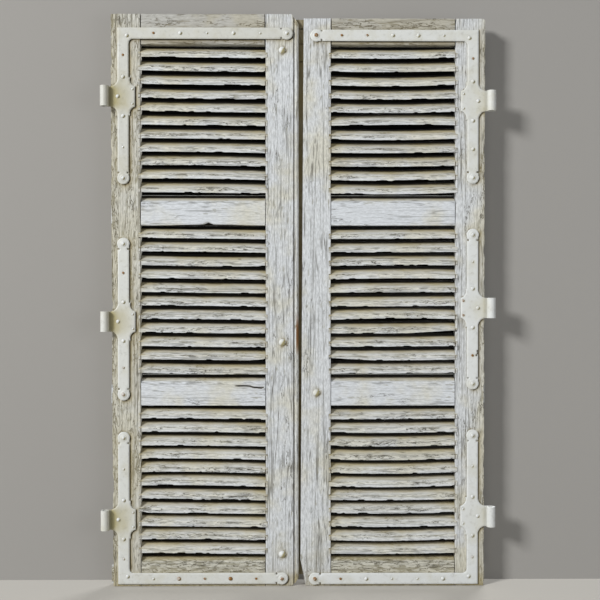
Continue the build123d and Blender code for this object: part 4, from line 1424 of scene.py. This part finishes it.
def paint_group():
    """An empty group with the sockets of the paint, its inputs and its output node."""
    tree = bpy.data.node_groups.new("weathered_paint", "ShaderNodeTree")
    face = tree.interface
    for name in ("Grain", "Place"):
        face.new_socket(name, in_out="INPUT", socket_type="NodeSocketVector")
    for name in ("Contrast", *MASKS):
        face.new_socket(name, in_out="INPUT", socket_type="NodeSocketFloat")
    for name, kind in (("Colour", "Color"), ("Roughness", "Float"), ("Height", "Float")):
        face.new_socket(name, in_out="OUTPUT", socket_type="NodeSocket" + kind)
    return tree, tree.nodes.new("NodeGroupInput").outputs, tree.nodes.new("NodeGroupOutput").inputs


def dirty_paint(tree, given, colour, broad):
    """The paint under its film of dirt, which holds painted shade too, with its cracks, and the brown and the
    black of painted shade and of open joints. The deep mask goes through the brown first, and is black from
    about two thirds on."""
    film = maths(tree, "MULTIPLY", given["Dirt"], ramp(tree, broad, 0.30, 0.62, 0.70, 1.0), clamp=True)
    colour = mix_colour(tree, maths(tree, "MULTIPLY", film, 0.85), colour, DIRT_AND_SHADE)
    colour = mix_colour(tree, maths(tree, "MULTIPLY", given["Crack"], 0.68, clamp=True), colour, CRACK_DARK)
    colour = mix_colour(tree, ramp(tree, given["Deep"], 0.0, 0.75, 0.0, 0.72), colour, SHADE_AND_SOOT_BROWN)
    return mix_colour(tree, ramp(tree, given["Deep"], 0.36, 1.0, 0.0, 0.97), colour, DEEP_DARK)


def painted_wood_group():
    """Cold and warm paint, darkened by short ridges, partly as dirt in the grain and partly as painted shade
    where the bump sinks, by long thin lines and by short open cracks, then flakes of bare wood, the film of
    dirt and painted shade, and the dark of painted shade and open joints. Wear lowers the limits above which
    cracks open and paint flakes. Short features stand on a point between the stretched and the plain one."""
    tree, given, out = paint_group()
    grain, place, worn = given["Grain"], given["Place"], given["Worn"]
    short = add(tree, "ShaderNodeMix", [(0, 0.17), (4, grain), (5, place)], data_type="VECTOR").outputs[1]
    broad = grain_noise(tree, place, EVEN, 7.0, 4.0)
    ridges = grain_noise(tree, short, EVEN, 290.0, 3.0, 0.70)
    lines = line_where_half(tree, grain_noise(tree, grain, EVEN, 85.0, 1.0, 0.5), 0.030)
    breaks = line_where_half(tree, grain_noise(tree, short, EVEN, 120.0, 3.0, 0.60), 0.038)
    patches = grain_noise(tree, place, EVEN, 16.0, 2.0)
    spread = grain_noise(tree, short, EVEN, 45.0, 2.0)
    flaking = grain_noise(tree, short, EVEN, 190.0, 4.0, 0.70)

    warm = maths(tree, "ADD", ramp(tree, broad, 0.46, 0.70), maths(tree, "MULTIPLY", worn, 1.3), clamp=True)
    colour = mix_colour(tree, warm, COLD_PAINT, WARM_PAINT)
    # The ridges darken the colour where the bump sinks, painted shade in the grain with its dirt, and the
    # contrast scales it.
    swing = maths(tree, "MULTIPLY", ramp(tree, ridges, 0.36, 0.64, 0.08, -0.17), given["Contrast"])
    shaded = maths(tree, "ADD", 1.0, swing)
    grey = add(tree, "ShaderNodeCombineColor", [(0, shaded), (1, shaded), (2, shaded)])
    colour = add(tree, "ShaderNodeMix", [(0, 1.0), (6, colour), (7, grey.outputs[0])],
                 data_type="RGBA", blend_type="MULTIPLY").outputs[2]
    cracking = maths(tree, "ADD", patches, maths(tree, "MULTIPLY", worn, 0.15))
    cracked = maths(tree, "MULTIPLY", ramp(tree, cracking, 0.46, 0.62, 0.36, 0.52), given["Contrast"])
    open_share = ramp(tree, maths(tree, "ADD", spread, maths(tree, "MULTIPLY", worn, 0.36)), 0.60, 0.76)
    torn = maths(tree, "MULTIPLY", breaks, maths(tree, "MULTIPLY", open_share, 0.95))
    thin = maths(tree, "MAXIMUM", maths(tree, "MULTIPLY", lines, cracked), torn, clamp=True)
    colour = mix_colour(tree, thin, colour, CRACK_DARK)
    limit = maths(tree, "SUBTRACT", 0.71, maths(tree, "MULTIPLY", worn, 0.15))
    over = maths(tree, "SUBTRACT", flaking, limit)
    flaked = maths(tree, "MAXIMUM", ramp(tree, over, 0.0, 0.025), maths(tree, "MULTIPLY", given["Bare"], 0.9))
    colour = mix_colour(tree, maths(tree, "MULTIPLY", flaked, 0.80), colour, BARE_WOOD)
    colour = mix_colour(tree, given["Fresh"], colour, FRESH_WOOD)
    tree.links.new(dirty_paint(tree, given, colour, broad), out["Colour"])

    tree.links.new(ramp(tree, flaked, 0.0, 1.0, 0.60, 0.90), out["Roughness"])
    raised = maths(tree, "MULTIPLY", ridges, -0.8)
    sunk = maths(tree, "ADD", maths(tree, "MULTIPLY", thin, -0.7), maths(tree, "MULTIPLY", flaked, -0.4))
    tree.links.new(maths(tree, "ADD", raised, sunk), out["Height"])
    return tree


wood_paint = painted_wood_group()
print("the paint group has", len(wood_paint.nodes), "nodes")


# %% [markdown]
# ## Upright and level wood
# The two wood materials hold the group and differ in two values: the axis along which the grain is stretched,
# and the contrast. Light from the side brings out upright grain more than level grain, and so does the dirt
# in it, so the upright wood gets the stronger contrast: painted side light on its grain, with the dirt.

# %% Wood materials
def wood_material(name, stretch, contrast):
    """Painted wood whose grain runs along the axis with the small factor of the stretch."""
    material, tree, shader = new_material(name)
    where = add(tree, "ShaderNodeTexCoord").outputs["Object"]
    mapped = add(tree, "ShaderNodeMapping", [("Vector", where), ("Scale", stretch)]).outputs[0]
    paint = add(tree, "ShaderNodeGroup", node_tree=wood_paint)
    tree.links.new(mapped, paint.inputs["Grain"])
    tree.links.new(where, paint.inputs["Place"])
    paint.inputs["Contrast"].default_value = contrast
    for socket, mask in MASKS.items():
        read = add(tree, "ShaderNodeAttribute", attribute_name=mask)
        tree.links.new(read.outputs["Fac"], paint.inputs[socket])
    bump = add(tree, "ShaderNodeBump",
               [("Strength", 0.7), ("Distance", 1 * MM), ("Height", paint.outputs["Height"])])
    tree.links.new(paint.outputs["Colour"], shader.inputs["Base Color"])
    tree.links.new(paint.outputs["Roughness"], shader.inputs["Roughness"])
    tree.links.new(bump.outputs[0], shader.inputs["Normal"])
    shader.inputs["Specular IOR Level"].default_value = 0.08
    return material


upright_wood = wood_material("painted_upright_wood", (1.0, 1.0, 0.03), 1.35)
level_wood = wood_material("painted_level_wood", (0.04, 1.0, 1.0), 0.85)
print("wood materials", upright_wood.name, level_wood.name)


# %% [markdown]
# ## Painted iron
# The straps carry thicker, smoother paint than the wood. It has gone yellow where dirt holds on, most
# of all at the roots of the eyes, thin where it was rubbed, and rust comes through in specks. Its
# brightness and gloss differ from the wood's, so it is a material of its own and not a third use of
# the group. The fasteners have the same paint, a little yellower and with more specks.

# %% Iron paint
def iron_material(name, yellow, speckle):
    """Smooth thick paint: yellow by a blotchy noise and by the dirt mask, which holds some painted shade,
    dark by the shade mask, which is painted shade low on the edges away from the light, in the fold and
    beside the heads, together with the pits, and rusty by its own mask and in specks."""
    material, tree, shader = new_material(name)
    where = add(tree, "ShaderNodeTexCoord").outputs["Object"]
    blotch = grain_noise(tree, where, EVEN, 22.0, 4.0)
    grit = grain_noise(tree, where, EVEN, 420.0, 2.0)
    speck = grain_noise(tree, where, EVEN, 130.0, 4.0, 0.7)
    worn_thin = grain_noise(tree, where, EVEN, 75.0, 4.0, 0.65)
    dirt, shade, rust = (add(tree, "ShaderNodeAttribute", attribute_name=mask).outputs["Fac"]
                         for mask in ("dirt", "shade", "rust"))
    aged = maths(tree, "ADD", ramp(tree, blotch, 0.45, 0.75, 0.0, yellow), dirt, clamp=True)
    colour = mix_colour(tree, aged, IRON_PAINT, IRON_YELLOW)
    colour = mix_colour(tree, ramp(tree, worn_thin, 0.50, 0.78, 0.0, 0.26), colour, RUBBED_IRON)
    spots = maths(tree, "ADD", ramp(tree, speck, 0.74 - speckle, 0.80 - speckle),
                  ramp(tree, maths(tree, "MULTIPLY", rust, speck), 0.15, 0.38), clamp=True)
    colour = mix_colour(tree, spots, colour, RUST)
    colour = mix_colour(tree, maths(tree, "MULTIPLY", shade, 0.97), colour, STRAP_DARK)
    tree.links.new(colour, shader.inputs["Base Color"])
    tree.links.new(ramp(tree, blotch, 0.3, 0.7, 0.40, 0.58), shader.inputs["Roughness"])
    height = maths(tree, "ADD", maths(tree, "MULTIPLY", grit, 0.5), speck)
    bump = add(tree, "ShaderNodeBump", [("Strength", 0.35), ("Distance", 0.5 * MM), ("Height", height)])
    tree.links.new(bump.outputs[0], shader.inputs["Normal"])
    shader.inputs["Specular IOR Level"].default_value = 0.4
    return material


strap_paint = iron_material("painted_strap_iron", 0.22, 0.0)
fastener_paint = iron_material("painted_fastener_iron", 0.28, 0.02)
print("iron materials", strap_paint.name, fastener_paint.name)


# %% [markdown]
# ## Every piece gets its finish
# New pieces take their material by name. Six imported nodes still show: the washers, the nuts and the
# wedges of both leaves. They keep their shape and only get a better finish. A list of pieces would do
# as well, but a rule by name also reaches a piece that is added later.

# %% Finishes
def finish_of(name):
    """The material that belongs to a piece, by the words in its name."""
    if "strap" in name and "screws" not in name and "nails" not in name:
        return strap_paint
    if any(word in name for word in ("screws", "nails", "bolts", "washers", "nuts")):
        return fastener_paint
    return level_wood if any(word in name for word in ("rail", "slat", "wedge")) else upright_wood


for name, piece in list(pieces.items()) + list(frame["nodes"].items()):
    piece.data.materials.clear()
    piece.data.materials.append(finish_of(name))
print("finishes given to", len(pieces), "new pieces and", len(frame["nodes"]), "packed nodes")


# %% [markdown]
# ## Floor and wall
# The leaves stand upright on a pale floor, with a plain grey wall behind them. The wall shows itself
# to the camera only, and only from its front, so that it never shades the back. Every other ray goes
# through it, so the leaves' backs are lit and throw light on to it, and it would look too pale
# between the slats, where a shut space is nearly black. A black panel behind the leaves would mend
# that, but would show as soon as a leaf swings open. So the wall asks at each point how shut in it
# is, which Blender calls ambient occlusion, and is dark only there.

# %% Floor and wall
STAGE_GREY = (0.335, 0.325, 0.31, 1.0)
FLOOR_GREY = (0.52, 0.50, 0.46, 1.0)
BLACK = (0.0, 0.0, 0.0, 1.0)
WALL_GAP = 34 * MM
STAGE_HALF, WALL_H = 6, 5
SHUT_IN_REACH, SHUT_IN_FROM, SHUT_IN_TO, SHUT_IN_DARK = 0.10, 0.62, 0.96, 0.985
LEFT_FADE, RIGHT_FADE = (0.005, 0.080), (-0.075, 0.045)
HEAD_FADE, FOOT_FADE = (-0.085, -0.010), (0.025, 0.070)


def plane(name, points):
    """A flat face through four corners."""
    mesh = bpy.data.meshes.new(name)
    mesh.from_pydata(points, [], [(0, 1, 2, 3)])
    piece = linked(name, mesh)
    return piece


def plain_material(name, colour):
    """A matt colour."""
    material, _, shader = new_material(name)
    shader.inputs["Base Color"].default_value = colour
    shader.inputs["Roughness"].default_value = 0.95
    shader.inputs["Specular IOR Level"].default_value = 0.0
    return material


def closed_behind(tree, x, z):
    """How dark the wall is: the share that is shut in within SHUT_IN_REACH, times a ramp at each side of the
    closed leaves, so that the dark fades out at their sides, heads and feet."""
    reach = add(tree, "ShaderNodeAmbientOcclusion", [("Distance", SHUT_IN_REACH)], samples=16)
    left, right, head = hinge_edge["left"], hinge_edge["right"], cad_box[1][2]
    dark = ramp(tree, reach.outputs["AO"], SHUT_IN_FROM, SHUT_IN_TO, 1.0, 0.0)
    for share in (ramp(tree, x, left + LEFT_FADE[0], left + LEFT_FADE[1]),
                  ramp(tree, x, right + RIGHT_FADE[0], right + RIGHT_FADE[1], 1.0, 0.0),
                  ramp(tree, z, head + HEAD_FADE[0], head + HEAD_FADE[1], 1.0, 0.0),
                  ramp(tree, z, *FOOT_FADE)):
        dark = maths(tree, "MULTIPLY", dark, share)
    return maths(tree, "MULTIPLY", dark, SHUT_IN_DARK)


def wall_material(name, colour):
    """The wall: matt to the camera in front of it, clear to every other ray, and dark behind closed slats."""
    material = plain_material(name, colour)
    tree = material.node_tree
    shader = tree.nodes["Principled BSDF"]
    where = add(tree, "ShaderNodeTexCoord").outputs["Object"]
    x, _, z = add(tree, "ShaderNodeSeparateXYZ", [(0, where)]).outputs
    tree.links.new(mix_colour(tree, closed_behind(tree, x, z), colour, BLACK), shader.inputs["Base Color"])
    seen = add(tree, "ShaderNodeLightPath").outputs["Is Camera Ray"]
    behind = add(tree, "ShaderNodeNewGeometry").outputs["Backfacing"]
    share = maths(tree, "MULTIPLY", seen, maths(tree, "SUBTRACT", 1.0, behind))
    clear = add(tree, "ShaderNodeBsdfTransparent").outputs[0]
    mixed = add(tree, "ShaderNodeMixShader", [(0, share), (1, clear), (2, shader.outputs[0])])
    tree.links.new(mixed.outputs[0], tree.nodes["Material Output"].inputs["Surface"])
    return material


floor = plane("floor", [(-STAGE_HALF, -STAGE_HALF, 0), (STAGE_HALF, -STAGE_HALF, 0),
                        (STAGE_HALF, STAGE_HALF, 0), (-STAGE_HALF, STAGE_HALF, 0)])
floor.data.materials.append(plain_material("pale_floor", FLOOR_GREY))
wall_y = back_y + WALL_GAP
wall = plane("wall", [(-STAGE_HALF, wall_y, 0), (STAGE_HALF, wall_y, 0),
                      (STAGE_HALF, wall_y, WALL_H), (-STAGE_HALF, wall_y, WALL_H)])
wall.data.materials.append(wall_material("pale_wall", STAGE_GREY))
print("the wall stands at y", round(wall_y, 4))


# %% [markdown]
# ## Light
# The light is soft and comes from the upper left, as from a large window, with a weaker fill from
# the right and a lamp behind for the views from there. A sun lamp would be simpler, but its hard
# shadows would cut the slats in two. The world adds an even, slightly cold grey.

# %% Light
MIDDLE = (0.0, 0.0, 0.85)


def lamp(name, way, distance, size, power, colour=(1.0, 1.0, 1.0)):
    """A square soft light at a distance from the middle of the leaves, seen in a direction from there."""
    data = bpy.data.lights.new(name, "AREA")
    data.size = size
    data.energy = power
    data.color = colour
    made = bpy.data.objects.new(name, data)
    way = np.array(way) / np.linalg.norm(way)
    made.location = np.array(MIDDLE) + distance * way
    made.rotation_euler = (math.acos(way[2]), 0.0, math.pi / 2 + math.atan2(way[1], way[0]))
    bpy.context.scene.collection.objects.link(made)
    return made


lamps = [lamp("window", (-0.68, -0.60, 0.44), 10.0, 2.0, 929, (1.0, 1.0, 0.99)),
         lamp("fill", (0.75, -0.9, 0.1), 3.2, 1.6, 14, (0.96, 0.98, 1.0)),
         lamp("behind", (0.4, 0.8, 0.45), 4.5, 2.0, 110)]
for made in lamps:
    print(made.name, "at", np.round(made.location, 2).tolist(), "with", made.data.energy, "W")
world = bpy.data.worlds.new("studio")
world.use_nodes = True
world.node_tree.nodes["Background"].inputs["Color"].default_value = (0.62, 0.63, 0.65, 1.0)
world.node_tree.nodes["Background"].inputs["Strength"].default_value = 0.36
bpy.context.scene.world = world
bpy.context.scene.view_settings.view_transform = "Standard"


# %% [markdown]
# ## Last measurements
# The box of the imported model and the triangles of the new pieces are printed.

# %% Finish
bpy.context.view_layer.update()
print("cad box", [list(c) for c in cad_box])
print("triangles of the new pieces", sum(triangles_in(piece) for piece in pieces.values()))
